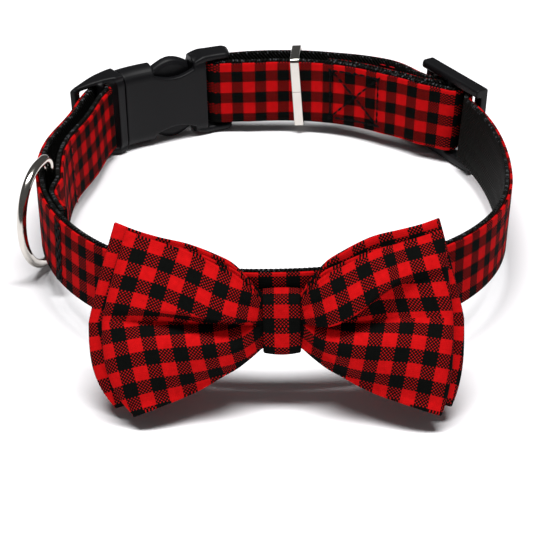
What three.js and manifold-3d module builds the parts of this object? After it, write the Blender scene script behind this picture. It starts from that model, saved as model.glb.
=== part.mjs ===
// Bow tie dog collar: a gingham-faced webbing strap that stands on its edge as a closed loop,
// with a side-release buckle, a strap slider, a metal keeper, a leash ring and a sewn-on bow.
// Millimetres, +Z up, the floor is z = 0 and the bow faces -Y.
import * as THREE from 'three';
import { mergeVertices } from 'three/addons/utils/BufferGeometryUtils.js';
import Module from 'manifold-3d';

// Strap: nylon webbing with a cotton cover sewn on its outer face
const STRAP_WIDTH = 25;
const WEBBING_THICK = 1.5;
const COVER_THICK = 1.0;
const COVER_GAP = 0.2;
const COVER_INSET = 0.7;
const STRAP_STEP = 7.5;
const BEND_STEP = 18;
const SHORTEST_STEP = 0.05;
const LEAST_MITRE = 0.8;

// The strap's line round the neck, every 15 degrees from the bow towards +X:
// radius from the middle of the loop, height of the lower edge, and lean of the top edge outwards
const LOOP_MIDDLE = { x: 2.25, y: 12.15 };
const LOOP_ROW_TURN = 15;
const LOOP = [
  { radius: 84.2, lift: 16.6, lean: -10.8 },
  { radius: 84.5, lift: 16.2, lean: -10.5 },
  { radius: 84.5, lift: 14.8, lean: -8.1 },
  { radius: 83.8, lift: 13, lean: -4 },
  { radius: 82.1, lift: 10.8, lean: 0.1 },
  { radius: 79.5, lift: 8, lean: 2.5 },
  { radius: 77.6, lift: 5.8, lean: 4 },
  { radius: 78.5, lift: 5, lean: 5.5 },
  { radius: 80.8, lift: 4.9, lean: 6.1 },
  { radius: 83, lift: 4.5, lean: 5 },
  { radius: 84.3, lift: 4, lean: 3.6 },
  { radius: 84, lift: 3.7, lean: 3.5 },
  { radius: 83, lift: 3.4, lean: 3.9 },
  { radius: 83.4, lift: 3.2, lean: 3.5 },
  { radius: 81.8, lift: 3.2, lean: 3.2 },
  { radius: 89.3, lift: 3.2, lean: 3.2 },
  { radius: 77.2, lift: 3.6, lean: 4 },
  { radius: 77.8, lift: 4.9, lean: 4.8 },
  { radius: 77.5, lift: 6.5, lean: 4.1 },
  { radius: 78.7, lift: 8, lean: 1 },
  { radius: 80.2, lift: 9.5, lean: -2.2 },
  { radius: 81.8, lift: 11, lean: -4 },
  { radius: 83.1, lift: 12.8, lean: -5.6 },
  { radius: 83.8, lift: 15, lean: -8.5 },
];
const LOOP_SAMPLES = 1440;

// Fineness of the faceted curves, and how far joined shapes run into each other
const WELD = 1e-4;
const CURVE_POINTS = 5;
const EDGE_POINTS = 2;
const BAR_SIDES = 10;
const ROOT = 1;

// Where things sit round the loop, in degrees from the front
const BOW_TURN = 1.8;
const FOLD_END_TURN = -63;
const RING_TURN = -83.8;
const BUCKLE_TURN = -146.7;
const SLIDER_TURN = 131.7;
const KEEPER_TURN = 173.5;
const TAIL_END_TURN = 165.5;

// How far the folded-back layers lie inside the strap's line
const INNER_LAYER = -5.0;
const TAIL_LAYER = -3.1;
const SEWN_LAYER = -2.0;
const POCKET_LAYER = -5.6;
const POCKET_HALF = 5;
const POCKET_RAMP = 9;
const POCKET_BEND = { end: 14, ring: 10, long: 30 };
// Behind the neck the layers stand apart: the inner one and its sewn tail lie further in,
// and past the slider the outer one bows out
const REAR = { inner: -7.4, tail: -5.5, fromBar: 12, fromSlider: 24, bend: 15 };
const REAR_BOW = { start: 15.5, startBend: 12, crest: 26, out: 2.4, crestBend: 25, end: 48, endBend: 60 };

// Side-release buckle, curved with the loop; the prong half lies towards the leash ring
const BAR_RADIUS = 1.4;
const BUCKLE_FACE = { inner: -7.3, outer: 2.3 };
const BUCKLE_BODY_HALF = 15.0;
const BUCKLE_EDGE = 4.2;
const BUCKLE_RAIL = { low: 13.0, high: 15.5, inner: -6.5, outer: 1.5, edge: 1.1 };
const FEMALE = { end: -32, bar: -27, body: -21.5, shoulder: -17.5, face: 12 };
const MALE = { end: 31.5, bar: 22.4, base: 17, face: 12.4 };
const SOCKET = { start: -17, inner: -5.1, outer: 0.1, half: 12.6, edge: 0.6 };
const PRONG = { inner: -4.1, outer: -0.4, low: 7.4, high: 11.9, tip: -15.4 };
const BUTTON = { from: -15.4, to: -1.8, peak: 15.6 };
const WINDOW = { from: -16.6, to: -1.2, edge: 11.6, depth: 9.6, top: 18 };
const TONGUE = { tip: -6, half: 3, edge: 0.8 };
// The prong half's arms taper to an end bar that stands off the strap
const END_BAR = { from: 28.5, inner: 2.0, outer: 4.2, high: 14.8, edge: 0.8, standOff: 0.8 };

// Three-bar strap slider, flat, on the outer side of the strap
const SLIDER = {
  half: 15.2, barFrom: 11.5, railLow: 13.2, railHigh: 16.4, inner: 0.3, face: 2.6, outer: 5.6,
};
const SLIDER_MIDDLE = { out: 1.8, radius: 1.45 };
const SLIDER_EDGE = 1.0;
// The strap's way over the slider's middle bar, and the turn of its end round that bar
const WEAVE = { entry: 10.5, entryBend: 2.6, crest: 2.2, crestOut: 7.5, crestBend: 5.7 };
const TURN_BACK = {
  entry: 7.5, entryBend: 4, side: 2.6, low: 0.21, top: 4.4, bend: 2.6, crest: 1.0, exit: 9.3,
};

// Flat metal keeper round the two rear layers
const KEEPER = { width: 3.3, thick: 0.8, clearance: 0.35, bend: 1.6, tilt: -3.7 };

// Leash ring: a D of round wire that swings on its straight bar
const RING = { wire: 3.2, halfBar: 17.9, depth: 23, corner: 4, shoulder: 6.8, swing: 64.5 };
const RING_SIDES = 8;
const RING_BAR_STEPS = 4;
const RING_CORNER_STEPS = 3;
const RING_BOW_STEPS = 14;
const RING_BAR_OUT = -2.8;

// Bow: two flattened cloth loops gathered by a knot band
const BOW_WALL = 1.3;
const BOW_DROP = 2.0;
const BOW_YAW = -1.5;
const BOW_PIVOT = 6;
const WING_LEAN = 24;
const WING_LEAN_FROM = 0.08;
const WING_LEAN_TO = 0.72;
const WING_FORWARD = 1.3;
const WING_TOP_SHARE = 0.97;
const END_CURVE = 0.17;
const BOW_SPAN = 58.5;
const BOW_BACK = { halfWidth: 58.5, height: 1.0, back: 'backLoopBack', front: 'backLoopFront' };
const BOW_FRONT = { halfWidth: 53.5, height: 0.9, back: 'frontLoopBack', front: 'frontLoopFront' };
// The four cloth layers: distance out at the knot, and how far each swells at mid-wing
const BOW_LAYERS = {
  backLoopBack: { knot: 4.0, swell: -1.6 },
  backLoopFront: { knot: 6.95, swell: 2.2 },
  frontLoopBack: { knot: 7.45, swell: 2.8 },
  frontLoopFront: { knot: 10.45, swell: 9.0 },
};
// Half height of the gathered cloth from the knot to the wing's end, as a share of the half width
const WING_HEIGHT = [
  { along: 0, half: 6.9 },
  { along: 0.1, half: 7.3 },
  { along: 0.17, half: 12.2 },
  { along: 0.25, half: 17.4 },
  { along: 0.35, half: 20.4 },
  { along: 0.5, half: 24.4 },
  { along: 0.7, half: 28.2 },
  { along: 0.85, half: 30.4 },
  { along: 1, half: 31.4 },
];
// Fullness of each wing from the knot to its end, and how deep its middle pleat stays
const WING_FULLNESS = [
  { along: 0, bulge: 0, pleat: 1 },
  { along: 0.12, bulge: 0.03, pleat: 1 },
  { along: 0.25, bulge: 0.7, pleat: 1 },
  { along: 0.45, bulge: 1, pleat: 0.85 },
  { along: 0.7, bulge: 0.8, pleat: 0.5 },
  { along: 0.9, bulge: 0.5, pleat: 0.2 },
  { along: 1, bulge: 0.4, pleat: 0.1 },
];
const WING_STATIONS = [0, 0.1, 0.16, 0.22, 0.3, 0.4, 0.52, 0.65, 0.78, 0.88, 0.95, 0.985, 1];
const WING_ROWS = 10;
const FOLD_ROUND = 0.1;
const FOLD_INSET_FROM = 0.8;
const LOBE_SHARPNESS = 0.8;
const SMALLER_BY = 1 / 3;
const KNOT = {
  width: 11.8, wall: 1.2, half: 9.6, back: 2.45, front: 12.3, bend: 2.4, swell: 0.9, rise: 0.4,
};
const KNOT_ACROSS = 4;
const KNOT_BEND_POINTS = 3;

const BLACK_NYLON = { color: 0x17171a, roughness: 0.85, metalness: 0 };
const GINGHAM = { color: 0x7d1219, roughness: 0.9, metalness: 0 };
const BLACK_PLASTIC = { color: 0x141416, roughness: 0.42, metalness: 0 };
const NICKEL = { color: 0xcfcfcd, roughness: 0.22, metalness: 1 };

const wasm = await Module();
wasm.setup();

const radians = THREE.MathUtils.degToRad;
const UP = new THREE.Vector3(0, 0, 1);
const collar = new THREE.Group();
collar.name = 'bow_tie_dog_collar';

// A value of the loop's table at any turn, as a smooth closed spline over its rows
function loopValue(column, turn) {
  const place = THREE.MathUtils.euclideanModulo(turn / LOOP_ROW_TURN, LOOP.length);
  const row = Math.floor(place);
  const f = place - row;
  const weights = [
    (1 - f) ** 3 / 6,
    (3 * f ** 3 - 6 * f ** 2 + 4) / 6,
    (-3 * f ** 3 + 3 * f ** 2 + 3 * f + 1) / 6,
    f ** 3 / 6,
  ];
  let value = 0;
  weights.forEach((weight, k) => {
    value += weight * LOOP[(row - 1 + k + LOOP.length) % LOOP.length][column];
  });
  return value;
}

function loopPoint(turn) {
  const radius = loopValue('radius', turn);
  const lean = radians(loopValue('lean', turn));
  return new THREE.Vector3(
    LOOP_MIDDLE.x + radius * Math.sin(radians(turn)),
    LOOP_MIDDLE.y - radius * Math.cos(radians(turn)),
    loopValue('lift', turn) + (STRAP_WIDTH / 2) * Math.cos(lean),
  );
}

// Running length of the loop at even turns, for going between turn and length
const TURN_STEP = 360 / LOOP_SAMPLES;
const runLength = [0];
for (let i = 1; i <= LOOP_SAMPLES; i += 1) {
  const step = loopPoint(i * TURN_STEP).distanceTo(loopPoint((i - 1) * TURN_STEP));
  runLength.push(runLength[i - 1] + step);
}
const LOOP_LENGTH = runLength[LOOP_SAMPLES];

function lengthAt(turn) {
  const laps = Math.floor(turn / 360);
  const place = (turn - laps * 360) / TURN_STEP;
  const i = Math.min(Math.floor(place), LOOP_SAMPLES - 1);
  return laps * LOOP_LENGTH + THREE.MathUtils.lerp(runLength[i], runLength[i + 1], place - i);
}

function turnAt(length) {
  const laps = Math.floor(length / LOOP_LENGTH);
  const rest = length - laps * LOOP_LENGTH;
  let low = 0;
  let high = LOOP_SAMPLES;
  while (high - low > 1) {
    const middle = (low + high) >> 1;
    if (runLength[middle] <= rest) low = middle;
    else high = middle;
  }
  const share = (rest - runLength[low]) / (runLength[high] - runLength[low]);
  return laps * 360 + (low + share) * TURN_STEP;
}

// The strap's own axes at a length along the loop
function station(length) {
  const turn = turnAt(length);
  const centre = loopPoint(turn);
  const along = loopPoint(turn + TURN_STEP).sub(loopPoint(turn - TURN_STEP)).normalize();
  const level = along.clone().cross(UP).normalize();
  const across = level.clone().cross(along);
  const lean = radians(loopValue('lean', turn));
  const up = across.clone().multiplyScalar(Math.cos(lean)).addScaledVector(level, Math.sin(lean));
  const out = level.clone().multiplyScalar(Math.cos(lean)).addScaledVector(across, -Math.sin(lean));
  return { centre, along, out, up };
}

// A point beside the strap that follows its curve: length along, distance out, distance up
function curvedPlace(length, out, up) {
  const here = station(length);
  return here.centre.addScaledVector(here.out, out).addScaledVector(here.up, up);
}

// A point in the straight axes of one station
function straightPlace(here, along, out, up) {
  return here.centre.clone().addScaledVector(here.along, along)
    .addScaledVector(here.out, out).addScaledVector(here.up, up);
}

// Smooth value of a short table at a share of its length
function tableValue(rows, column, share) {
  let i = 0;
  while (i < rows.length - 2 && share > rows[i + 1].along) i += 1;
  const from = rows[i];
  const to = rows[i + 1];
  const f = THREE.MathUtils.clamp((share - from.along) / (to.along - from.along), 0, 1);
  const slope = (k) => {
    const a = rows[Math.max(k - 1, 0)];
    const b = rows[Math.min(k + 1, rows.length - 1)];
    return (b[column] - a[column]) / (b.along - a.along);
  };
  const span = to.along - from.along;
  const f2 = f * f;
  const f3 = f2 * f;
  return (2 * f3 - 3 * f2 + 1) * from[column] + (f3 - 2 * f2 + f) * span * slope(i)
    + (-2 * f3 + 3 * f2) * to[column] + (f3 - f2) * span * slope(i + 1);
}

function add(name, geometry, material) {
  const clean = geometry.clone();
  clean.deleteAttribute('normal');
  clean.deleteAttribute('uv');
  const solid = mergeVertices(clean, WELD);
  solid.computeVertexNormals();
  const mesh = new THREE.Mesh(solid, new THREE.MeshStandardMaterial(material));
  mesh.name = name;
  collar.add(mesh);
}

// A solid from points and triangles, turned faces out
function solidFrom(points, triangles) {
  let volume = 0;
  const cross = new THREE.Vector3();
  triangles.forEach(([a, b, c]) => {
    volume += points[a].dot(cross.crossVectors(points[b], points[c]));
  });
  const facing = volume > 0 ? triangles : triangles.map(([a, b, c]) => [a, c, b]);
  const geometry = new THREE.BufferGeometry();
  const numbers = points.flatMap((p) => p.toArray());
  geometry.setAttribute('position', new THREE.Float32BufferAttribute(numbers, 3));
  geometry.setIndex(facing.flat());
  return geometry;
}

function toManifold(geometry) {
  const clean = geometry.clone();
  clean.deleteAttribute('normal');
  clean.deleteAttribute('uv');
  const merged = mergeVertices(clean, WELD);
  return new wasm.Manifold(new wasm.Mesh({
    numProp: 3,
    vertProperties: new Float32Array(merged.attributes.position.array),
    triVerts: new Uint32Array(merged.index.array),
  }));
}

function fromManifold(solid) {
  const mesh = solid.getMesh();
  const geometry = new THREE.BufferGeometry();
  geometry.setAttribute('position', new THREE.Float32BufferAttribute(mesh.vertProperties, 3));
  geometry.setIndex(Array.from(mesh.triVerts));
  return geometry;
}

function joined(geometries) {
  return geometries.map(toManifold).reduce((whole, piece) => whole.add(piece));
}

function mapped(geometry, place) {
  const position = geometry.attributes.position;
  const points = [];
  for (let i = 0; i < position.count; i += 1) {
    points.push(place(position.getX(i), position.getY(i), position.getZ(i)));
  }
  const merged = geometry.clone();
  merged.setAttribute('position', new THREE.Float32BufferAttribute(points.flatMap((p) => p.toArray()), 3));
  merged.deleteAttribute('normal');
  merged.deleteAttribute('uv');
  const clean = mergeVertices(merged, WELD);
  const corners = clean.attributes.position;
  const list = [];
  for (let i = 0; i < corners.count; i += 1) list.push(new THREE.Vector3().fromBufferAttribute(corners, i));
  const triangles = [];
  for (let i = 0; i < clean.index.count; i += 3) {
    triangles.push([clean.index.getX(i), clean.index.getX(i + 1), clean.index.getX(i + 2)]);
  }
  return solidFrom(list, triangles);
}

function roundedBox(x0, x1, y0, y1, edge) {
  const shape = new THREE.Shape();
  shape.moveTo(x0 + edge, y0);
  shape.lineTo(x1 - edge, y0);
  shape.absarc(x1 - edge, y0 + edge, edge, -Math.PI / 2, 0, false);
  shape.lineTo(x1, y1 - edge);
  shape.absarc(x1 - edge, y1 - edge, edge, 0, Math.PI / 2, false);
  shape.lineTo(x0 + edge, y1);
  shape.absarc(x0 + edge, y1 - edge, edge, Math.PI / 2, Math.PI, false);
  shape.lineTo(x0, y0 + edge);
  shape.absarc(x0 + edge, y0 + edge, edge, Math.PI, 1.5 * Math.PI, false);
  return shape;
}

// A prism whose section (out, up) runs along the strap from one length to another
function alongPrism(section, from, to, place) {
  const steps = Math.max(1, Math.round((to - from) / STRAP_STEP));
  const options = { depth: to - from, steps, bevelEnabled: false, curveSegments: EDGE_POINTS };
  const prism = new THREE.ExtrudeGeometry(section, options);
  return mapped(prism, (x, y, z) => place(from + z, x, y));
}

// A prism whose outline (along, up) runs straight out through the strap's thickness
function throughPrism(outline, inner, outer, place) {
  const corners = outline.getPoints(CURVE_POINTS);
  const edge = [];
  corners.forEach((corner, i) => {
    const next = corners[(i + 1) % corners.length];
    const pieces = Math.max(1, Math.ceil(corner.distanceTo(next) / STRAP_STEP));
    for (let k = 0; k < pieces; k += 1) edge.push(corner.clone().lerp(next, k / pieces));
  });
  const settings = { depth: outer - inner, bevelEnabled: false };
  const prism = new THREE.ExtrudeGeometry(new THREE.Shape(edge), settings);
  return mapped(prism, (x, y, z) => place(x, inner + z, y));
}

// A round upright bar across the strap
function uprightBar(along, out, radius, half, place) {
  const bar = new THREE.CylinderGeometry(radius, radius, 2 * half, BAR_SIDES);
  return mapped(bar, (x, y, z) => place(along + x, out + z, y));
}

// A strap path of straight runs (along, out) with rounded corners
function bentPath(corners) {
  const path = [];
  corners.forEach((corner, i) => {
    const here = new THREE.Vector2(corner.along, corner.out);
    const before = corners[i - 1];
    const after = corners[i + 1];
    if (!before || !after) {
      path.push(here);
      return;
    }
    const inward = new THREE.Vector2(corner.along - before.along, corner.out - before.out).normalize();
    const onward = new THREE.Vector2(after.along - corner.along, after.out - corner.out).normalize();
    const turn = Math.atan2(inward.cross(onward), inward.dot(onward));
    const cut = corner.bend * Math.tan(Math.abs(turn) / 2);
    const start = here.clone().addScaledVector(inward, -cut);
    const side = new THREE.Vector2(-inward.y, inward.x).multiplyScalar(Math.sign(turn) * corner.bend);
    const middle = start.clone().add(side);
    const steps = Math.max(1, Math.ceil(Math.abs(THREE.MathUtils.radToDeg(turn)) / BEND_STEP));
    for (let k = 0; k <= steps; k += 1) {
      path.push(start.clone().rotateAround(middle, (turn * k) / steps));
    }
  });
  const even = [path[0]];
  path.slice(1).forEach((point) => {
    const last = even[even.length - 1];
    const gap = point.distanceTo(last);
    if (gap < SHORTEST_STEP) return;
    const pieces = Math.max(1, Math.ceil(gap / STRAP_STEP));
    for (let k = 1; k <= pieces; k += 1) even.push(last.clone().lerp(point, k / pieces));
  });
  return even;
}

// A flat band that follows a strap path, between two offsets on the cover's side of the path
function ribbon(path, low, high, half) {
  const points = [];
  const triangles = [];
  path.forEach((here, i) => {
    const before = path[Math.max(i - 1, 0)];
    const after = path[Math.min(i + 1, path.length - 1)];
    const inward = here.clone().sub(before).normalize();
    const onward = after.clone().sub(here).normalize();
    const run = inward.add(onward).normalize();
    const side = new THREE.Vector2(-run.y, run.x);
    const stretch = i > 0 && i < path.length - 1 ? 1 / Math.max(run.dot(onward), LEAST_MITRE) : 1;
    [[low, -half], [high, -half], [high, half], [low, half]].forEach(([offset, up]) => {
      const spot = here.clone().addScaledVector(side, offset * stretch);
      points.push(curvedPlace(spot.x, spot.y, up));
    });
  });
  for (let i = 0; i < path.length - 1; i += 1) {
    for (let k = 0; k < 4; k += 1) {
      const a = 4 * i + k;
      const b = 4 * i + ((k + 1) % 4);
      if (k < 2) triangles.push([a, b, b + 4], [a, b + 4, a + 4]);
      else triangles.push([a, b, a + 4], [b, b + 4, a + 4]);
    }
  }
  const end = 4 * (path.length - 1);
  triangles.push([0, 2, 1], [0, 3, 2], [end, end + 1, end + 2], [end, end + 2, end + 3]);
  return solidFrom(points, triangles);
}

// Strap path: folded end, prong bar, round the neck, slider, socket bar, back to the slider, sewn tail
const buckleAt = lengthAt(BUCKLE_TURN);
const sliderAt = lengthAt(SLIDER_TURN);
const ringAt = lengthAt(RING_TURN);
const maleBarAt = buckleAt + MALE.bar;
const femaleBarAt = buckleAt + FEMALE.bar + LOOP_LENGTH;
const barTurn = -INNER_LAYER / 2;
const strapPath = bentPath([
  { along: lengthAt(FOLD_END_TURN), out: SEWN_LAYER },
  { along: ringAt + POCKET_HALF + POCKET_RAMP, out: SEWN_LAYER, bend: POCKET_BEND.end },
  { along: ringAt + POCKET_HALF, out: POCKET_LAYER, bend: POCKET_BEND.ring },
  { along: ringAt - POCKET_HALF, out: POCKET_LAYER, bend: POCKET_BEND.long },
  { along: maleBarAt + POCKET_HALF, out: INNER_LAYER, bend: POCKET_BEND.long },
  { along: maleBarAt - barTurn, out: INNER_LAYER, bend: barTurn },
  { along: maleBarAt - barTurn, out: 0, bend: barTurn },
  { along: sliderAt - WEAVE.entry, out: 0, bend: WEAVE.entryBend },
  { along: sliderAt - WEAVE.crest, out: WEAVE.crestOut, bend: WEAVE.crestBend },
  { along: sliderAt + WEAVE.crest, out: WEAVE.crestOut, bend: WEAVE.crestBend },
  { along: sliderAt + WEAVE.entry, out: 0, bend: WEAVE.entryBend },
  { along: sliderAt + REAR_BOW.start, out: 0, bend: REAR_BOW.startBend },
  { along: sliderAt + REAR_BOW.crest, out: REAR_BOW.out, bend: REAR_BOW.crestBend },
  { along: sliderAt + REAR_BOW.end, out: 0, bend: REAR_BOW.endBend },
  { along: femaleBarAt + barTurn, out: 0, bend: barTurn },
  { along: femaleBarAt + barTurn, out: INNER_LAYER, bend: barTurn },
  { along: femaleBarAt - REAR.fromBar, out: REAR.inner, bend: REAR.bend },
  { along: sliderAt + REAR.fromSlider, out: REAR.inner, bend: REAR.bend },
  { along: sliderAt + TURN_BACK.entry, out: INNER_LAYER, bend: TURN_BACK.entryBend },
  { along: sliderAt - TURN_BACK.side, out: TURN_BACK.low, bend: TURN_BACK.bend },
  { along: sliderAt - TURN_BACK.side, out: TURN_BACK.top, bend: TURN_BACK.bend },
  { along: sliderAt + TURN_BACK.crest, out: TURN_BACK.top, bend: TURN_BACK.bend },
  { along: sliderAt + TURN_BACK.exit, out: TAIL_LAYER, bend: WEAVE.crestBend },
  { along: sliderAt + REAR.fromSlider, out: REAR.tail, bend: REAR.bend },
  { along: lengthAt(TAIL_END_TURN), out: REAR.tail },
]);
const webbingHalf = WEBBING_THICK / 2;
const coverLow = webbingHalf + COVER_GAP;
add('strap_webbing', ribbon(strapPath, -webbingHalf, webbingHalf, STRAP_WIDTH / 2), BLACK_NYLON);
const coverHalf = STRAP_WIDTH / 2 - COVER_INSET;
add('strap_cover', ribbon(strapPath, coverLow, coverLow + COVER_THICK, coverHalf), GINGHAM);

// Buckle halves
const onBuckle = (along, out, up) => {
  const past = Math.max(0, along - MALE.bar) / (MALE.end - MALE.bar);
  return curvedPlace(buckleAt + along, out + END_BAR.standOff * past ** 2, up);
};
const barOut = INNER_LAYER / 2;

// The same place, for a section that narrows from the prong half's base to its end bar
const onArm = (along, out, up) => {
  const share = (along - MALE.face) / (MALE.end - MALE.face);
  const across = (out - BUCKLE_RAIL.inner) / (BUCKLE_RAIL.outer - BUCKLE_RAIL.inner);
  const ending = THREE.MathUtils.lerp(END_BAR.inner, END_BAR.outer, across);
  const thinner = (BUCKLE_RAIL.high - END_BAR.high) / (BUCKLE_RAIL.high - BUCKLE_RAIL.low);
  const height = BUCKLE_RAIL.low + (Math.abs(up) - BUCKLE_RAIL.low) * (1 - thinner * share);
  return onBuckle(along, THREE.MathUtils.lerp(out, ending, share), Math.sign(up) * height);
};

function buckleRails(from, to, place) {
  return [1, -1].map((side) => {
    const low = Math.min(side * BUCKLE_RAIL.low, side * BUCKLE_RAIL.high);
    const high = Math.max(side * BUCKLE_RAIL.low, side * BUCKLE_RAIL.high);
    const section = roundedBox(BUCKLE_RAIL.inner, BUCKLE_RAIL.outer, low, high, BUCKLE_RAIL.edge);
    return alongPrism(section, from, to, place);
  });
}

function buckleBlock(from, to) {
  const section = roundedBox(
    BUCKLE_FACE.inner, BUCKLE_FACE.outer, -BUCKLE_BODY_HALF, BUCKLE_BODY_HALF, BUCKLE_EDGE,
  );
  return alongPrism(section, from, to, onBuckle);
}

// Curved cut at a socket edge that lets the button through
function windowOutline(side) {
  const shape = new THREE.Shape();
  shape.moveTo(WINDOW.from, side * WINDOW.top);
  shape.lineTo(WINDOW.from, side * WINDOW.edge);
  const middle = (WINDOW.from + WINDOW.to) / 2;
  shape.quadraticCurveTo(middle, side * (2 * WINDOW.depth - WINDOW.edge), WINDOW.to, side * WINDOW.edge);
  shape.lineTo(WINDOW.to, side * WINDOW.top);
  return shape;
}

function prongOutline(side) {
  const shape = new THREE.Shape();
  const middle = (BUTTON.from + BUTTON.to) / 2;
  shape.moveTo(MALE.face + ROOT, side * PRONG.low);
  shape.lineTo(PRONG.tip, side * PRONG.low);
  shape.lineTo(PRONG.tip, side * PRONG.high);
  shape.quadraticCurveTo(middle, side * (2 * BUTTON.peak - PRONG.high), BUTTON.to, side * PRONG.high);
  shape.lineTo(MALE.face + ROOT, side * PRONG.high);
  return shape;
}

const femaleBar = uprightBar(FEMALE.bar, barOut, BAR_RADIUS, BUCKLE_RAIL.low + ROOT, onBuckle);
const femaleBody = buckleBlock(FEMALE.body, FEMALE.face);
const socketSection = roundedBox(SOCKET.inner, SOCKET.outer, -SOCKET.half, SOCKET.half, SOCKET.edge);
let female = joined([femaleBody, femaleBar, ...buckleRails(FEMALE.end, FEMALE.shoulder, onBuckle)]);
female = female.subtract(toManifold(alongPrism(socketSection, SOCKET.start, FEMALE.face + ROOT, onBuckle)));
[1, -1].forEach((side) => {
  const through = [BUCKLE_FACE.inner - ROOT, BUCKLE_FACE.outer + ROOT];
  const cut = throughPrism(windowOutline(side), ...through, onBuckle);
  female = female.subtract(toManifold(cut));
});
add('buckle_female', fromManifold(female), BLACK_PLASTIC);

const maleBar = uprightBar(MALE.bar, barOut, BAR_RADIUS, BUCKLE_RAIL.low + ROOT, onBuckle);
const maleEndSection = roundedBox(
  END_BAR.inner, END_BAR.outer, -END_BAR.high, END_BAR.high, END_BAR.edge,
);
const maleEnd = alongPrism(maleEndSection, END_BAR.from, MALE.end, onBuckle);
const tongueSection = roundedBox(PRONG.inner, PRONG.outer, -TONGUE.half, TONGUE.half, TONGUE.edge);
const male = joined([
  buckleBlock(MALE.face, MALE.base),
  maleBar,
  maleEnd,
  ...buckleRails(MALE.face, MALE.end, onArm),
  alongPrism(tongueSection, TONGUE.tip, MALE.face + ROOT, onBuckle),
  ...[1, -1].map((side) => throughPrism(prongOutline(side), PRONG.inner, PRONG.outer, onBuckle)),
]);
add('buckle_male', fromManifold(male), BLACK_PLASTIC);

// Slider
const sliderStation = station(sliderAt);
const onSlider = (along, out, up) => straightPlace(sliderStation, along, out, up);

function sliderBox(from, to, inner, outer, low, high) {
  return alongPrism(roundedBox(inner, outer, low, high, SLIDER_EDGE), from, to, onSlider);
}

const sliderBarReach = SLIDER.railLow + 2 * ROOT;
const slider = joined([
  sliderBox(-SLIDER.half, SLIDER.half, SLIDER.inner, SLIDER.outer, SLIDER.railLow, SLIDER.railHigh),
  sliderBox(-SLIDER.half, SLIDER.half, SLIDER.inner, SLIDER.outer, -SLIDER.railHigh, -SLIDER.railLow),
  sliderBox(-SLIDER.half, -SLIDER.barFrom, SLIDER.face, SLIDER.outer, -sliderBarReach, sliderBarReach),
  sliderBox(SLIDER.barFrom, SLIDER.half, SLIDER.face, SLIDER.outer, -sliderBarReach, sliderBarReach),
  uprightBar(0, SLIDER_MIDDLE.out, SLIDER_MIDDLE.radius, SLIDER.railLow + ROOT, onSlider),
]);
add('slider', fromManifold(slider), BLACK_PLASTIC);

// Keeper
const keeperStation = station(lengthAt(KEEPER_TURN));
keeperStation.along.applyAxisAngle(keeperStation.out, radians(KEEPER.tilt));
keeperStation.up.applyAxisAngle(keeperStation.out, radians(KEEPER.tilt));
const onKeeper = (along, out, up) => straightPlace(keeperStation, along, out, up);
const coverFace = coverLow + COVER_THICK;
const keeperInner = REAR.inner - coverFace - KEEPER.clearance;
const keeperOuter = coverFace + KEEPER.clearance;
const keeperHalf = STRAP_WIDTH / 2 + KEEPER.clearance;
const keeperOutline = roundedBox(
  keeperInner - KEEPER.thick, keeperOuter + KEEPER.thick,
  -keeperHalf - KEEPER.thick, keeperHalf + KEEPER.thick,
  KEEPER.bend,
);
keeperOutline.holes.push(
  roundedBox(keeperInner, keeperOuter, -keeperHalf, keeperHalf, KEEPER.bend - KEEPER.thick),
);
add('keeper', alongPrism(keeperOutline, -KEEPER.width / 2, KEEPER.width / 2, onKeeper), NICKEL);

// Leash ring: the D's outline, swept with round wire
const ringStation = station(ringAt);
const ringSwing = radians(RING.swing);
const ringAway = ringStation.out.clone().multiplyScalar(Math.cos(ringSwing))
  .addScaledVector(ringStation.along, Math.sin(ringSwing));
const ringSide = ringAway.clone().cross(ringStation.up).normalize();
const ringMiddle = straightPlace(ringStation, 0, RING_BAR_OUT, 0);

function ringOutline() {
  const list = [];
  const straight = RING.halfBar - RING.corner;
  for (let k = 0; k <= RING_BAR_STEPS; k += 1) {
    list.push([0, straight - (2 * straight * k) / RING_BAR_STEPS]);
  }
  const corner = (up, from) => {
    for (let k = 1; k <= RING_CORNER_STEPS; k += 1) {
      const a = radians(from + (90 * k) / RING_CORNER_STEPS);
      list.push([RING.corner + RING.corner * Math.cos(a), up + RING.corner * Math.sin(a)]);
    }
  };
  corner(-straight, 180);
  for (let k = 0; k <= RING_BOW_STEPS; k += 1) {
    const a = radians(-90 + (180 * k) / RING_BOW_STEPS);
    list.push([RING.shoulder + (RING.depth - RING.shoulder) * Math.cos(a), RING.halfBar * Math.sin(a)]);
  }
  corner(straight, 90 - 90 / RING_CORNER_STEPS);
  return list;
}

function sweptWire(outline, radius) {
  const points = [];
  const triangles = [];
  const count = outline.length;
  outline.forEach(([away, up], i) => {
    const before = outline[(i + count - 1) % count];
    const after = outline[(i + 1) % count];
    const run = new THREE.Vector2(after[0] - before[0], after[1] - before[1]).normalize();
    for (let k = 0; k < RING_SIDES; k += 1) {
      const a = (2 * Math.PI * (k + 0.5)) / RING_SIDES;
      const wide = radius * Math.cos(a);
      points.push(ringMiddle.clone()
        .addScaledVector(ringAway, away + run.y * wide)
        .addScaledVector(ringStation.up, up - run.x * wide)
        .addScaledVector(ringSide, radius * Math.sin(a)));
    }
  });
  for (let i = 0; i < count; i += 1) {
    for (let k = 0; k < RING_SIDES; k += 1) {
      const next = (k + 1) % RING_SIDES;
      const a = i * RING_SIDES + k;
      const b = i * RING_SIDES + next;
      const c = ((i + 1) % count) * RING_SIDES + next;
      const d = ((i + 1) % count) * RING_SIDES + k;
      triangles.push([a, b, c], [a, c, d]);
    }
  }
  return solidFrom(points, triangles);
}

add('d_ring', sweptWire(ringOutline(), RING.wire / 2), NICKEL);

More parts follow.
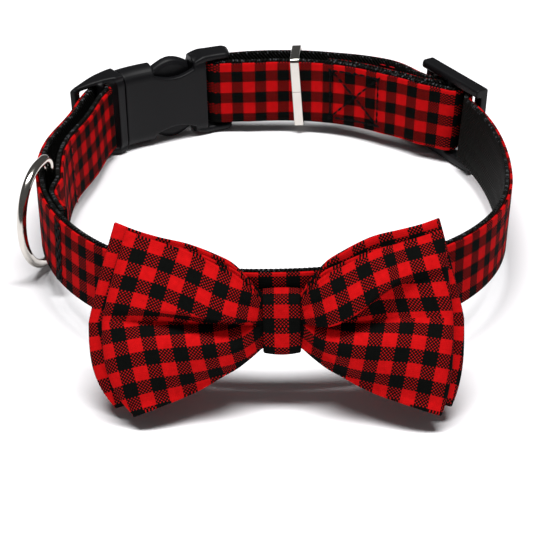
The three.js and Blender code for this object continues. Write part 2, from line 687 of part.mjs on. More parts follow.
// Bow, in the straight axes of the strap's front
const bowStation = station(lengthAt(BOW_TURN));
bowStation.along.applyAxisAngle(bowStation.up, radians(BOW_YAW));
bowStation.out.applyAxisAngle(bowStation.up, radians(BOW_YAW));

// The wings lean further back than the strap, more so towards their ends
function bowPlace(along, up, out) {
  const share = Math.abs(along) / BOW_SPAN;
  const lean = radians(WING_LEAN * THREE.MathUtils.smoothstep(share, WING_LEAN_FROM, WING_LEAN_TO));
  const depth = out - BOW_PIVOT;
  const rise = up * Math.cos(lean) + depth * Math.sin(lean) - BOW_DROP;
  const forward = WING_FORWARD * share ** 2;
  const reach = BOW_PIVOT + forward + depth * Math.cos(lean) - up * Math.sin(lean);
  return straightPlace(bowStation, along, reach, rise);
}

// Distance out of one cloth layer at a place on the wing: a lobe above and below a middle pleat
function layerOut(layer, along, up) {
  const away = Math.min(1, Math.abs(along) / BOW_SPAN);
  const row = THREE.MathUtils.clamp(up / tableValue(WING_HEIGHT, 'half', away), -1, 1);
  const bulge = tableValue(WING_FULLNESS, 'bulge', away);
  const pleat = tableValue(WING_FULLNESS, 'pleat', away);
  const lobes = Math.sin(Math.PI * Math.abs(row)) ** LOBE_SHARPNESS;
  const dome = 1 - row * row;
  const fullness = bulge * (pleat * lobes + (1 - pleat) * dome);
  return BOW_LAYERS[layer].knot + BOW_LAYERS[layer].swell * fullness;
}

// A point on a bow loop: share -1 to 1 along it, row -1 to 1 up it, front or back wall, depth into the wall
function loopWallPoint(bow, share, row, wall, inset) {
  const away = Math.abs(share);
  const rim = 1 - FOLD_ROUND;
  const fold = Math.sqrt(1 - (Math.max(0, away - rim) / FOLD_ROUND) ** 2);
  const width = bow.halfWidth - inset * THREE.MathUtils.smoothstep(away, FOLD_INSET_FROM, 1);
  const along = share * width * (1 - END_CURVE * row * row * away);
  const height = THREE.MathUtils.lerp(1, bow.height, Math.min(1, away / SMALLER_BY));
  const up = row * height * (row > 0 ? WING_TOP_SHARE : 1) * tableValue(WING_HEIGHT, 'half', away);
  const front = layerOut(bow.front, along, up);
  const back = layerOut(bow.back, along, up);
  return bowPlace(along, up, (front + back) / 2 + wall * ((front - back) / 2 - inset) * fold);
}

// A bow loop: a flattened band of cloth, open at its upper and lower edges
function bowLoop(bow) {
  const shares = [
    ...WING_STATIONS.slice(1).reverse().map((s) => [-s, 1]),
    ...WING_STATIONS.map((s) => [s, 1]),
    ...WING_STATIONS.slice(0, -1).reverse().map((s) => [s, -1]),
    ...WING_STATIONS.slice(1, -1).map((s) => [-s, -1]),
  ];
  const points = [];
  const triangles = [];
  const columns = shares.length;
  const rows = WING_ROWS + 1;
  [0, BOW_WALL].forEach((inset) => {
    shares.forEach(([share, wall]) => {
      for (let r = 0; r < rows; r += 1) {
        points.push(loopWallPoint(bow, share, -1 + (2 * r) / WING_ROWS, wall, inset));
      }
    });
  });
  const at = (skin, column, row) => (skin * columns + (column % columns)) * rows + row;
  const quad = (a, b, c, d) => triangles.push([a, b, c], [a, c, d]);
  for (let c = 0; c < columns; c += 1) {
    for (let r = 0; r < WING_ROWS; r += 1) {
      quad(at(0, c, r), at(0, c + 1, r), at(0, c + 1, r + 1), at(0, c, r + 1));
      quad(at(1, c, r), at(1, c, r + 1), at(1, c + 1, r + 1), at(1, c + 1, r));
    }
    quad(at(0, c, 0), at(1, c, 0), at(1, c + 1, 0), at(0, c + 1, 0));
    quad(at(0, c, WING_ROWS), at(0, c + 1, WING_ROWS), at(1, c + 1, WING_ROWS), at(1, c, WING_ROWS));
  }
  return solidFrom(points, triangles);
}

add('bow_back', bowLoop(BOW_BACK), GINGHAM);
add('bow_front', bowLoop(BOW_FRONT), GINGHAM);

// Knot band: a short sleeve of cloth round both loops, a little fuller at mid-width
function knotBand() {
  const outerShape = roundedBox(KNOT.back, KNOT.front, -KNOT.half, KNOT.half, KNOT.bend);
  const outer = outerShape.getPoints(KNOT_BEND_POINTS);
  const inner = roundedBox(
    KNOT.back + KNOT.wall, KNOT.front - KNOT.wall, -KNOT.half + KNOT.wall, KNOT.half - KNOT.wall,
    KNOT.bend - KNOT.wall,
  ).getPoints(KNOT_BEND_POINTS);
  const count = outer.length - 1;
  const points = [];
  const triangles = [];
  for (let c = 0; c <= KNOT_ACROSS; c += 1) {
    const share = -1 + (2 * c) / KNOT_ACROSS;
    const swell = KNOT.swell * (1 - share * share);
    [outer, inner].forEach((ring) => {
      ring.slice(0, count).forEach((p) => {
        const front = p.x > (KNOT.back + KNOT.front) / 2 ? swell : 0;
        const rise = p.y > 0 ? swell : -swell;
        points.push(bowPlace((share * KNOT.width) / 2, p.y + rise * KNOT.rise, p.x + front));
      });
    });
  }
  const at = (column, skin, k) => (column * 2 + skin) * count + (k % count);
  const quad = (a, b, c, d) => triangles.push([a, b, c], [a, c, d]);
  for (let k = 0; k < count; k += 1) {
    for (let c = 0; c < KNOT_ACROSS; c += 1) {
      quad(at(c, 0, k), at(c, 0, k + 1), at(c + 1, 0, k + 1), at(c + 1, 0, k));
      quad(at(c, 1, k), at(c + 1, 1, k), at(c + 1, 1, k + 1), at(c, 1, k + 1));
    }
    quad(at(0, 0, k), at(0, 1, k), at(0, 1, k + 1), at(0, 0, k + 1));
    const [near, far] = [k, k + 1];
    quad(at(KNOT_ACROSS, 0, near), at(KNOT_ACROSS, 0, far), at(KNOT_ACROSS, 1, far), at(KNOT_ACROSS, 1, near));
  }
  return solidFrom(points, triangles);
}

add('bow_knot', knotBand(), GINGHAM);

export default collar;
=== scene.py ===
"""Looks of a bow tie dog collar on its CAD frame, laid out as a Blender add-on and run as a script.

Lengths in the shape functions are millimetres in the frame's axes: the floor is z = 0, the bow
faces -Y. Strap places are given as (length along the loop, distance out, distance up the strap).
"""

import math
from collections import namedtuple

import bmesh
import bpy
import numpy as np
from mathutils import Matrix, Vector


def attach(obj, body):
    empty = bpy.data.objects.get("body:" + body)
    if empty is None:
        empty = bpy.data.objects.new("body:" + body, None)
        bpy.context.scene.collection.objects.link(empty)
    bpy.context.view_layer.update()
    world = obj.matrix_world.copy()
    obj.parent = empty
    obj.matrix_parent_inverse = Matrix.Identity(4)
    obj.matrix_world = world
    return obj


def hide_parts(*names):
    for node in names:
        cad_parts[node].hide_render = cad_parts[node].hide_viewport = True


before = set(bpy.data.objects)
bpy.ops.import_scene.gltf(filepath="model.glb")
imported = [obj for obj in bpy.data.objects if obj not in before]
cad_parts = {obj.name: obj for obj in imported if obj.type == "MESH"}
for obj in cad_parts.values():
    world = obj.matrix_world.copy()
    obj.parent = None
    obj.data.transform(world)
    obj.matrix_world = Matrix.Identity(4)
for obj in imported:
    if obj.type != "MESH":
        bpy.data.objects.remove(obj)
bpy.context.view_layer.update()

bl_info = {
    "name": "Bow tie dog collar",
    "version": (1, 0, 0),
    "blender": (4, 5, 0),
    "location": "3D View > Sidebar > Collar",
    "description": "Dresses the frame of a gingham dog collar with cloth, webbing, plastic and metal",
    "category": "Object",
}

MM = 0.001
UP = np.array([0.0, 0.0, 1.0])

# The strap's line round the neck, a row every 15 degrees from the bow towards +X:
# radius from the loop's middle, height of the lower edge, outward lean of the top edge in degrees
LoopRow = namedtuple("LoopRow", "radius lift lean")
LOOP_MIDDLE = (2.25, 12.15)
LOOP_ROWS = (
    LoopRow(84.2, 16.6, -10.8),
    LoopRow(84.5, 16.2, -10.5),
    LoopRow(84.5, 14.8, -8.1),
    LoopRow(83.8, 13.0, -4.0),
    LoopRow(82.1, 10.8, 0.1),
    LoopRow(79.5, 8.0, 2.5),
    LoopRow(77.6, 5.8, 4.0),
    LoopRow(78.5, 5.0, 5.5),
    LoopRow(80.8, 4.9, 6.1),
    LoopRow(83.0, 4.5, 5.0),
    LoopRow(84.3, 4.0, 3.6),
    LoopRow(84.0, 3.7, 3.5),
    LoopRow(83.0, 3.4, 3.9),
    LoopRow(83.4, 3.2, 3.5),
    LoopRow(81.8, 3.2, 3.2),
    LoopRow(89.3, 3.2, 3.2),
    LoopRow(77.2, 3.6, 4.0),
    LoopRow(77.8, 4.9, 4.8),
    LoopRow(77.5, 6.5, 4.1),
    LoopRow(78.7, 8.0, 1.0),
    LoopRow(80.2, 9.5, -2.2),
    LoopRow(81.8, 11.0, -4.0),
    LoopRow(83.1, 12.8, -5.6),
    LoopRow(83.8, 15.0, -8.5),
)
LOOP_SAMPLES = 1440
STRAP_HALF = 12.5
# How gingham lies on the cover: how far along the pattern its folded end is, the mean height of its
# top row, how far that row wanders, over which length and where along it is highest, how far the
# pattern is set back past the turn round the socket's bar, and over which length to each side of it
CoverCut = namedtuple("CoverCut", "along top_row wander wave highest set_back turn_half")
COVER = CoverCut(6.3, 2.2, 1.0, 200.0, 590.0, 2.3, 4)

# Where things sit round the loop, in degrees from the front
BOW_TURN = 1.8
FOLD_END_TURN = -63
TACK_TURN = -58.4
RING_TURN = -83.8
INNER_SEAM_TURN = -102
BUCKLE_TURN = -146.7
SLIDER_TURN = 131.7
KEEPER_TURN = 173.5
TAIL_END_TURN = 165.5
BOX_STITCH_TURNS = (149.5, 164)

# How far the folded-back layers lie inside the strap's line
INNER_LAYER = -5.0
TAIL_LAYER = -3.1
SEWN_LAYER = -2.0
POCKET_LAYER = -5.6
POCKET_HALF = 5
POCKET_RAMP = 9
# The strap's bends at the pocket's foot, over the ring's bar, and down to the inner layer
POCKET_BENDS = (14, 10, 30)
# Behind the neck the inner layer and its sewn tail lie further in, from this far past the socket's bar
REAR_LAYER = -7.4
REAR_TAIL = -5.5
REAR_FROM_BAR = 12
REAR_BEND = 15
# Corners of the strap's way, as along from the slider, out and bend: over the slider's middle bar,
# bowed out behind it, and back from the inner layer round that bar to the tail
SLIDER_OVER = ((-10.5, 0, 2.6), (-2.2, 7.5, 5.7), (2.2, 7.5, 5.7), (10.5, 0, 2.6))
OUTER_BOW = ((15.5, 0, 12), (26, 2.4, 25), (48, 0, 60))
SLIDER_BACK = (
    (24, REAR_LAYER, REAR_BEND), (7.5, INNER_LAYER, 4), (-2.6, 0.21, 2.6), (-2.6, 4.4, 2.6),
    (1.0, 4.4, 2.6), (9.3, TAIL_LAYER, 5.7), (24, REAR_TAIL, REAR_BEND))

# Red rows beside the slider: their ends along from it, and how far out the outer layer bows there
RED_ROWS = (19, 30)
RED_ROWS_OUT = 2.0
# The seam across the inner layer: half its length, and how much further in that layer lies there
INNER_SEAM_HALF = 11.2
INNER_SEAM_IN = 0.35
# The tail's box and the fold's bar tack: their reach up and along, and how much heavier their thread is
BOX_UP = (-9.2, 9.6)
BOX_HEAVIER = 2.0
TACK_HALF = 11
TACK_REACH = 1.9
TACK_STEPS = 64
TACK_HEAVIER = 1.4
# How far a thread's middle stands off the face, against its thickness
THREAD_PROUD = 0.2

# Side-release buckle, as along the strap, out from it and up it
BAR_RADIUS = 1.4
BAR_OUT = INNER_LAYER / 2
BODY_OUT = (-7.3, 2.3)
BODY_HALF = 15.0
BODY_EDGE = 4.2
RAIL_UP = (13.0, 15.5)
RAIL_OUT = (-6.5, 1.5)
RAIL_EDGE = 1.1
# A rail's end is rounded over this length at these angles, and drawn in by this much
RAIL_ROUND = 2.4
RAIL_ROUND_TURNS = (0, 20, 40, 60, 90)
RAIL_SHRINK = 1.7
# The strap bars run a little way into the rails
BAR_HALF = RAIL_UP[0] + 1
SOCKET_BODY = (-21.5, 12.0)
SOCKET_RAIL_END = -32.0
# The socket's rails where they run into its body: place along, how much fuller, and how high
SOCKET_RAMP = ((-24.0, 0.0, 15.5), (-20.9, 0.3, 15.5), (-18.6, 0.5, 14.8), (-16.8, 0.5, 13.9))
SOCKET_BAR = -27.0
SOCKET_HOLLOW = (-17.0, 13.0)
SOCKET_OUT = (-5.1, 0.1)
SOCKET_HALF = 12.6
SOCKET_EDGE = 0.6
PRONG_BASE = (12.4, 17.0)
PRONG_BAR = 22.4
PRONG_OUT = (-4.1, -0.4)
PRONG_UP = (7.4, 11.9)
PRONG_TIP = -15.4
PRONG_EDGE = 0.8
# The prong half's arms along its base: their place, how far out and how high they are there,
# and how much they are drawn in at their ends
ARM_ROOTS = ((PRONG_BASE[0], (-6.9, 1.9), 15.2), (PRONG_BASE[1], (-6.7, 1.9), 15.4))
ARM_SHRINK = 0.6
BUTTON = (-15.4, -1.8)
BUTTON_FOOT = 13.2
BUTTON_PEAK = 15.8
BUTTON_STEPS = 7
# A button is rounded towards the neck by this much, over this share of the prong's thickness
BUTTON_ROUND = 1.8
BUTTON_ROUND_SHARE = 0.7
WINDOW = (-16.6, -1.2)
WINDOW_EDGE = 11.6
WINDOW_DEPTH = 9.6
# How far up the cuts for the socket's side windows reach
WINDOW_REACH = 18.0
TONGUE_TIP = -6.0
TONGUE_HALF = 3.0
# The prong half's arms taper to an end bar that stands off the strap
END_BAR = (28.5, 31.5)
END_BAR_OUT = (2.0, 4.2)
END_BAR_HALF = 14.8
STAND_OFF = 0.8

# Strap slider: half length, rails, face and outer side, and its round middle bar
SLIDER_HALF = 15.2
SLIDER_BAR_FROM = 11.5
SLIDER_RAIL = (13.2, 16.4)
SLIDER_OUT = (0.3, 5.6)
SLIDER_FACE = 2.6
SLIDER_MIDDLE_OUT = 1.8
SLIDER_MIDDLE_RADIUS = 1.45
SLIDER_EDGE = 1.0

# Keeper strip: its bends and edges, and its butt joint halfway up the side towards the neck
KEEPER_BEND = 1.6
KEEPER_EDGE = 0.25
KEEPER_JOINT_UP = 0.5
KEEPER_JOINT_HALF = 0.07

# Leash ring: its corners, where its bow starts, how far it swings at rest, and where its bar lies
RING_CORNER = 4.0
RING_SHOULDER = 6.8
RING_SWING = math.radians(64.5)
RING_BAR_OUT = -2.8

# The bow, from the strap's front outwards
BOW_DROP = 2.0
BOW_YAW = -1.5
BOW_PIVOT = 6
WING_LEAN = 24
WING_LEAN_SHARES = (0.08, 0.72)
WING_FORWARD = 1.3
BOW_SPAN = 58.5
# A wall of a loop: how far out it is at the knot, how far it swells, and how far its ends stand off
Layer = namedtuple("Layer", "knot swell end")
# One wing of a loop: its reach, the shares cut off its reach at the top and bottom corners,
# its height above and below its middle against the table, and extra height halfway along its top
Wing = namedtuple("Wing", "reach top_cut bottom_cut above below crown")
BowLoop = namedtuple("BowLoop", "left right back front")
BOW_BACK = BowLoop(
    Wing(60.5, 0.135, 0.127, 1.10, 0.905, 0.0), Wing(56.9, 0.125, 0.07, 1.095, 0.925, 1.5),
    Layer(4.0, -1.6, -1.6), Layer(6.95, 2.2, -0.9))
BOW_FRONT = BowLoop(
    Wing(55.8, 0.13, 0.165, 1.0, 1.0, 0.0), Wing(53.2, 0.05, 0.07, 0.965, 1.02, 0.0),
    Layer(7.45, 2.8, 0.0), Layer(10.45, 9.0, 0.0))
END_TOP_POWER = 1.1
END_BOTTOM_POWER = 3.0
CROWN_AT = 0.6
CROWN_SPREAD = 0.3
# The wing from the knot to its end: half heights above and below its middle,
# how full it is and how much of that is pleat
WingRow = namedtuple("WingRow", "along top bottom bulge pleat")
WING_ROWS = (
    WingRow(0.00, 6.9, 6.9, 0.00, 1.00),
    WingRow(0.10, 7.3, 7.3, 0.05, 1.00),
    WingRow(0.17, 11.8, 10.2, 0.45, 1.00),
    WingRow(0.25, 15.9, 13.2, 0.78, 1.00),
    WingRow(0.35, 18.2, 16.0, 0.93, 0.97),
    WingRow(0.50, 20.9, 20.4, 0.98, 0.85),
    WingRow(0.70, 23.3, 24.7, 0.80, 0.62),
    WingRow(0.85, 25.4, 27.2, 0.58, 0.42),
    WingRow(1.00, 27.8, 29.1, 0.40, 0.26),
)
# The front wall's main fold: how far up the wing its edge lies near the knot and near the wing's end
Fold = namedtuple("Fold", "near far")
FOLD_LEFT = Fold(0.27, 0.165)
FOLD_RIGHT = Fold(0.14, 0.62)
FOLD_SHARES = (0.2, 0.75)
FOLD_STEP = 0.1
# Over which share of the rows the upper lobe hangs down at the fold's edge
FOLD_HANG = 0.1
PANEL_RISE = 0.35
LOWER_CREST = 0.38
# How far the front lobes fall away past their crests and how late, and how round the lower one is
UPPER_FALL = (0.6, 1.6)
LOWER_FALL = (0.65, 2)
LOWER_ROUND = 0.75
# Gathers beside the knot: where along the wing, over which share, how many waves and their phase
Gather = namedtuple("Gather", "share spread waves phase")
GATHER = Gather(0.2, 0.11, 2.5, 0.6)
# From which share along a wing its walls move to where they stand at its end
ENDS_FROM = 0.45
# A small tuck low on the right wing, beside the knot: share along, row up, spreads and depth
Tuck = namedtuple("Tuck", "share row share_spread row_spread depth")
TUCK = Tuck(0.24, -0.72, 0.1, 0.09, 1.3)
# How gingham lies on a wing: its rows rise and fall towards the wing's end by these angles, its columns
# lean by these in the upper and the lower half, where lengths are taken along these rows; its first
# column at the end is this wide, its first row starts this far down, and rows are squeezed over this
# length beside the pleat, where the pleat runs out
ROWS_RISE = 17.5
ROWS_FALL = 14.5
COLUMNS_LEAN = (17.5, 11.5)
CREST_ROWS = (0.5, -0.4)
FIRST_COLUMN = (3.6, 4.3)
FIRST_ROW = (0.4, 2.6)
SQUEEZE = 6.0
SQUEEZE_SHARES = (0.4, 0.68)
FOLD_ROUND = 0.1
FOLD_INSET_FROM = 0.8
LOBE_SHARPNESS = 0.8
SMALLER_BY = 1 / 3
KNOT_OUT = (2.45, 12.3)
KNOT_MIDDLE = sum(KNOT_OUT) / 2
KNOT_BEND = 2.4
KNOT_RISE = 0.4
# Longest step round the knot band, the rounding of its edges against its wall, and where its rows start
KNOT_STEP = 0.8
KNOT_EDGE = 0.45
KNOT_FIRST_ROW = 3.3

# Pieces that the low front light falls on
CLOTH_PIECES = ("gingham_cover", "bow_back_loop", "bow_front_loop", "bow_knot_band")


def linear(hex_colour):
    """Linear RGB of an sRGB hex colour."""
    parts = [int(hex_colour[i:i + 2], 16) / 255 for i in (0, 2, 4)]
    return tuple(c / 12.92 if c <= 0.04045 else ((c + 0.055) / 1.055) ** 2.4 for c in parts)


def length(name, note, millimetres):
    """A length setting, given in millimetres and kept in metres."""
    return bpy.props.FloatProperty(
        name=name, description=note, default=millimetres * MM, unit="LENGTH", precision=5)


def colour(name, note, hex_colour):
    """A colour setting from an sRGB hex value."""
    return bpy.props.FloatVectorProperty(
        name=name, description=note, default=linear(hex_colour), subtype="COLOR", min=0, max=1)


class CollarStrap(bpy.types.PropertyGroup):
    """Webbing and its cotton cover"""

    webbing_thick: length("Webbing thickness", "Thickness of the nylon webbing", 1.5)
    cover_thick: length("Cover thickness", "Thickness of the folded cotton cover", 1.0)
    cover_gap: length("Cover gap", "Space between webbing and cover", 0.2)
    cover_inset: length("Cover inset", "How far the webbing shows past the cover's edges", 0.7)
    bead: length("Selvedge bead", "Spacing of the beads along the webbing's woven edges", 1.5)
    bead_depth: length("Bead depth", "Depth between the beads of the woven edges", 0.22)
    rib: length("Webbing rib", "Spacing of the webbing's slanting ribs", 1.3)
    nylon: colour("Nylon", "Colour of the webbing yarn", "070706")
    # The sheen colour is a painted highlight on the edge yarns' crowns.
    sheen: colour("Sheen", "Colour of the edge yarns' crowns, which catch the light", "55575B")


class CollarCloth(bpy.types.PropertyGroup):
    """Gingham cloth"""

    square: length("Square", "Side of one gingham square on the strap", 4.2)
    bow_square: length("Bow square", "Side of one gingham square on the bow", 4.6)
    threads: bpy.props.IntProperty(
        name="Threads", description="Threads in one gingham square", default=8, min=4, max=16)
    red: colour("Red yarn", "Colour of the red yarn", "A80C0E")
    black: colour("Black yarn", "Colour of the black yarn", "080908")


class CollarBow(bpy.types.PropertyGroup):
    """Bow loops and knot band"""

    wall: length("Wall", "Thickness of the bow's folded cloth", 1.3)
    overhang: length("Overhang", "How far each wing's upper lobe hangs over its pleat", 1.5)
    ripple: length("Ripple", "Depth of the gathers that run out from the knot", 0.45)
    knot_width: length("Knot width", "Width of the knot band", 11.8)
    knot_half: length("Knot half height", "Half height of the knot band", 9.6)
    knot_wall: length("Knot wall", "Thickness of the knot band", 1.2)
    knot_swell: length("Knot swell", "How far the knot band is fuller at its middle", 0.9)


class CollarHardware(bpy.types.PropertyGroup):
    """Plastic and metal fittings"""

    plastic: colour("Plastic", "Colour of the moulded plastic", "0D0D0F")
    grain: length("Moulding detail", "Size of the finest edges of the moulded pieces", 0.32)
    nickel: colour("Nickel", "Colour of the nickel plating", "CBC7C0")
    wire: length("Ring wire", "Diameter of the leash ring's wire", 3.2)
    ring_half: length("Ring half bar", "Half height of the leash ring", 17.9)
    ring_depth: length("Ring depth", "Depth of the leash ring from its bar", 23.0)
    keeper_width: length("Keeper width", "Width of the flat metal keeper", 3.3)
    keeper_thick: length("Keeper thickness", "Thickness of the flat metal keeper", 0.8)
    keeper_clearance: length("Keeper clearance", "Space between the keeper and the strap", 0.35)
    keeper_tilt: bpy.props.FloatProperty(
        name="Keeper tilt", description="How far the keeper's top leans along the strap",
        default=math.radians(3.7), subtype="ANGLE")


class CollarStitch(bpy.types.PropertyGroup):
    """Sewing thread"""

    thread: length("Thread", "Diameter of the sewing thread", 0.42)
    run: length("Stitch", "Length of one stitch", 2.4)
    gap: length("Gap", "Space between two stitches", 0.7)
    seam_inset: length("Seam inset", "Distance of the cover's seams from the strap's edges", 2.3)
    red: colour("Red thread", "Colour of the red thread", "B3161B")
    black: colour("Black thread", "Colour of the black thread", "050505")


class CollarStage(bpy.types.PropertyGroup):
    """Floor, light and camera"""

    lens: bpy.props.FloatProperty(
        name="Lens", description="Focal length on a 36 mm sensor", default=183.3, unit="CAMERA")
    distance: length("Camera distance", "Distance from the camera to its target", 896.0)
    elevation: bpy.props.FloatProperty(
        name="Elevation", description="Height of the view above the horizon",
        default=math.radians(33), subtype="ANGLE")
    target: bpy.props.FloatVectorProperty(
        name="Target", description="Point at the picture's middle",
        default=(1.15 * MM, -38.45 * MM, 20 * MM), subtype="TRANSLATION")
    floor: colour("Floor", "Colour of the floor", "F4F3F5")


SETTINGS = {
    "collar_strap": CollarStrap,
    "collar_cloth": CollarCloth,
    "collar_bow": CollarBow,
    "collar_hardware": CollarHardware,
    "collar_stitch": CollarStitch,
    "collar_stage": CollarStage,
}


def unit(vectors):
    """The vectors at length one."""
    return vectors / np.linalg.norm(vectors, axis=-1, keepdims=True)


def lengths_along(points):
    """The length of a line of points from its start to each of them."""
    return np.concatenate([[0], np.cumsum(np.linalg.norm(np.diff(points, axis=0), axis=1))])


def smoothstep(value, low, high):
    """0 below low, 1 above high, and smooth between them."""
    t = np.clip((value - low) / (high - low), 0, 1)
    return t * t * (3 - 2 * t)


class StrapLine:
    """The strap's middle line round the neck, with the strap's own axes along it."""

    def __init__(self):
        step = 360 / LOOP_SAMPLES
        turns = np.arange(LOOP_SAMPLES + 1) * step
        self.turns = turns
        self.centre = self.points(turns)
        self.along = unit(self.points(turns + step) - self.points(turns - step))
        level = unit(np.cross(self.along, UP))
        across = np.cross(level, self.along)
        lean = np.radians(self.values(turns)[:, 2])[:, None]
        self.up = across * np.cos(lean) + level * np.sin(lean)
        self.out = level * np.cos(lean) - across * np.sin(lean)
        self.run = lengths_along(self.centre)
        self.whole = self.run[-1]

    @staticmethod
    def values(turns):
        """Radius, lift and lean at each turn, on a closed spline over the rows."""
        place = np.mod(turns / (360 / len(LOOP_ROWS)), len(LOOP_ROWS))
        row = np.floor(place).astype(int)
        f = place - row
        weights = (
            (1 - f) ** 3 / 6,
            (3 * f ** 3 - 6 * f ** 2 + 4) / 6,
            (-3 * f ** 3 + 3 * f ** 2 + 3 * f + 1) / 6,
            f ** 3 / 6,
        )
        rows = np.array(LOOP_ROWS, float)
        return sum(w[:, None] * rows[(row - 1 + k) % len(rows)] for k, w in enumerate(weights))

    def points(self, turns):
        radius, lift, lean = self.values(turns).T
        a = np.radians(turns)
        return np.stack([
            LOOP_MIDDLE[0] + radius * np.sin(a),
            LOOP_MIDDLE[1] - radius * np.cos(a),
            lift + STRAP_HALF * np.cos(np.radians(lean)),
        ], axis=-1)

    def length_at(self, turn):
        """Length along the loop at a turn in degrees."""
        laps = math.floor(turn / 360)
        return laps * self.whole + float(np.interp(turn - laps * 360, self.turns, self.run))

    def axes(self, lengths):
        """Centre, along, out and up at each length."""
        at = np.mod(lengths, self.whole)
        return [
            np.stack([np.interp(at, self.run, column[:, k]) for k in range(3)], axis=-1)
            for column in (self.centre, self.along, self.out, self.up)
        ]

    def place(self, lengths, out, up):
        """Points beside the strap that follow its curve."""
        lengths, out, up = np.broadcast_arrays(
            np.asarray(lengths, float), np.asarray(out, float), np.asarray(up, float))
        centre, _, out_axis, up_axis = self.axes(lengths)
        return centre + out_axis * out[..., None] + up_axis * up[..., None]

    def straight(self, at, along, out, up):
        """Points in the straight axes of the strap at one length."""
        centre, along_axis, out_axis, up_axis = (a[0] for a in self.axes(np.array([at])))
        return (centre + np.multiply.outer(along, along_axis)
                + np.multiply.outer(out, out_axis) + np.multiply.outer(up, up_axis))


LINE = StrapLine()
BUCKLE_AT = LINE.length_at(BUCKLE_TURN)
SLIDER_AT = LINE.length_at(SLIDER_TURN)
RING_AT = LINE.length_at(RING_TURN)
KEEPER_AT = LINE.length_at(KEEPER_TURN)
BOW_AT = LINE.length_at(BOW_TURN)


def bent_path(corners, step):
    """A strap path of straight runs (along, out), each corner rounded to its bend, and its true lengths."""
    points = []
    for i, (along, out, bend) in enumerate(corners):
        here = np.array([along, out], float)
        if i in (0, len(corners) - 1):
            points.append(here)
            continue
        inward = unit(here - np.array(corners[i - 1][:2]))
        onward = unit(np.array(corners[i + 1][:2]) - here)
        turn = math.atan2(inward[0] * onward[1] - inward[1] * onward[0], inward @ onward)
        start = here - inward * bend * math.tan(abs(turn) / 2)
        middle = start + np.array([-inward[1], inward[0]]) * math.copysign(bend, turn)
        count = max(2, math.ceil(bend * abs(turn) / (step / 2)))
        for a in np.linspace(0, turn, count + 1):
            spoke = start - middle
            points.append(middle + np.array([
                spoke[0] * math.cos(a) - spoke[1] * math.sin(a),
                spoke[0] * math.sin(a) + spoke[1] * math.cos(a),
            ]))
    points = np.array(points)
    run = lengths_along(points)
    even = np.linspace(0, run[-1], math.ceil(run[-1] / step) + 1)
    path = np.stack([np.interp(even, run, points[:, k]) for k in range(2)], axis=-1)
    return path, lengths_along(LINE.place(path[:, 0], path[:, 1], 0))


def strap_path(step):
    """The strap's way: folded end, prong bar, round the neck, slider, socket bar, slider, sewn tail."""
    prong_bar = BUCKLE_AT + PRONG_BAR
    socket_bar = BUCKLE_AT + SOCKET_BAR + LINE.whole
    turn = -INNER_LAYER / 2
    into, over, out_of = POCKET_BENDS

    def by_slider(corners):
        return [(SLIDER_AT + along, out, bend) for along, out, bend in corners]

    return bent_path([
        (LINE.length_at(FOLD_END_TURN), SEWN_LAYER, 0),
        (RING_AT + POCKET_HALF + POCKET_RAMP, SEWN_LAYER, into),
        (RING_AT + POCKET_HALF, POCKET_LAYER, over),
        (RING_AT - POCKET_HALF, POCKET_LAYER, out_of),
        (prong_bar + POCKET_HALF, INNER_LAYER, out_of),
        (prong_bar - turn, INNER_LAYER, turn),
        (prong_bar - turn, 0, turn),
        *by_slider(SLIDER_OVER + OUTER_BOW),
        (socket_bar + turn, 0, turn),
        (socket_bar + turn, INNER_LAYER, turn),
        (socket_bar - REAR_FROM_BAR, REAR_LAYER, REAR_BEND),
        *by_slider(SLIDER_BACK),
        (LINE.length_at(TAIL_END_TURN), REAR_TAIL, 0),
    ], step)


def new_object(name, mesh):
    """A new object for a mesh, in the scene."""
    made = bpy.data.objects.new(name, mesh)
    bpy.context.scene.collection.objects.link(made)
    return made


def mesh_piece(name, points, faces, corner_uv=None, sharp=None):
    """A smooth-shaded object from points in millimetres, faces, and cloth places at face corners."""
    mesh = bpy.data.meshes.new(name)
    mesh.from_pydata((np.asarray(points) * MM).tolist(), [], [list(map(int, f)) for f in faces])
    if corner_uv is not None:
        layer = mesh.uv_layers.new(name="cloth_mm")
        layer.data.foreach_set("uv", np.concatenate(corner_uv).astype(np.float32).ravel())
    mesh.shade_smooth()
    if sharp is not None:
        mesh.set_sharp_from_angle(angle=math.radians(sharp))
    mesh.update()
    return new_object(name, mesh)


def tube_faces(rings, around, closed):
    """Quads of a tube of rings, each with that many points round it, joined end to end if closed."""
    i, k = np.meshgrid(np.arange(rings if closed else rings - 1), np.arange(around), indexing="ij")
    j, n = (i + 1) % rings, (k + 1) % around
    quads = np.stack([i * around + k, i * around + n, j * around + n, j * around + k], axis=-1)
    return quads.reshape(-1, 4)


def capped_tube(rings, around):
    """Faces of an open tube of rings, with one face that closes each end."""
    last = (rings - 1) * around
    sides = [list(f) for f in tube_faces(rings, around, False)]
    return [*sides, list(range(around))[::-1], list(range(last, last + around))]


def outward(points, faces):
    """The faces, turned round if the closed shape they make is inside out."""
    volume = 0.0
    for f in faces:
        a = points[f[0]]
        for b, c in zip(f[1:-1], f[2:]):
            volume += float(a @ np.cross(points[b], points[c]))
    return faces if volume > 0 else [f[::-1] for f in faces]


def ring_section(low, high, half, steps):
    """A flat band's section (offset, up) with round edges, as a closed ring of points."""
    middle, radius = (low + high) / 2, (high - low) / 2
    flat = np.linspace(-half + radius, half - radius, steps)
    arc = np.linspace(0, math.pi, 7)[1:-1]
    top = [(middle + radius * math.cos(a), half - radius + radius * math.sin(a)) for a in arc]
    bottom = [(middle - radius * math.cos(a), -half + radius - radius * math.sin(a)) for a in arc]
    face = [(high, up) for up in flat]
    back = [(low, up) for up in flat[::-1]]
    return np.array(face + top + back + bottom)


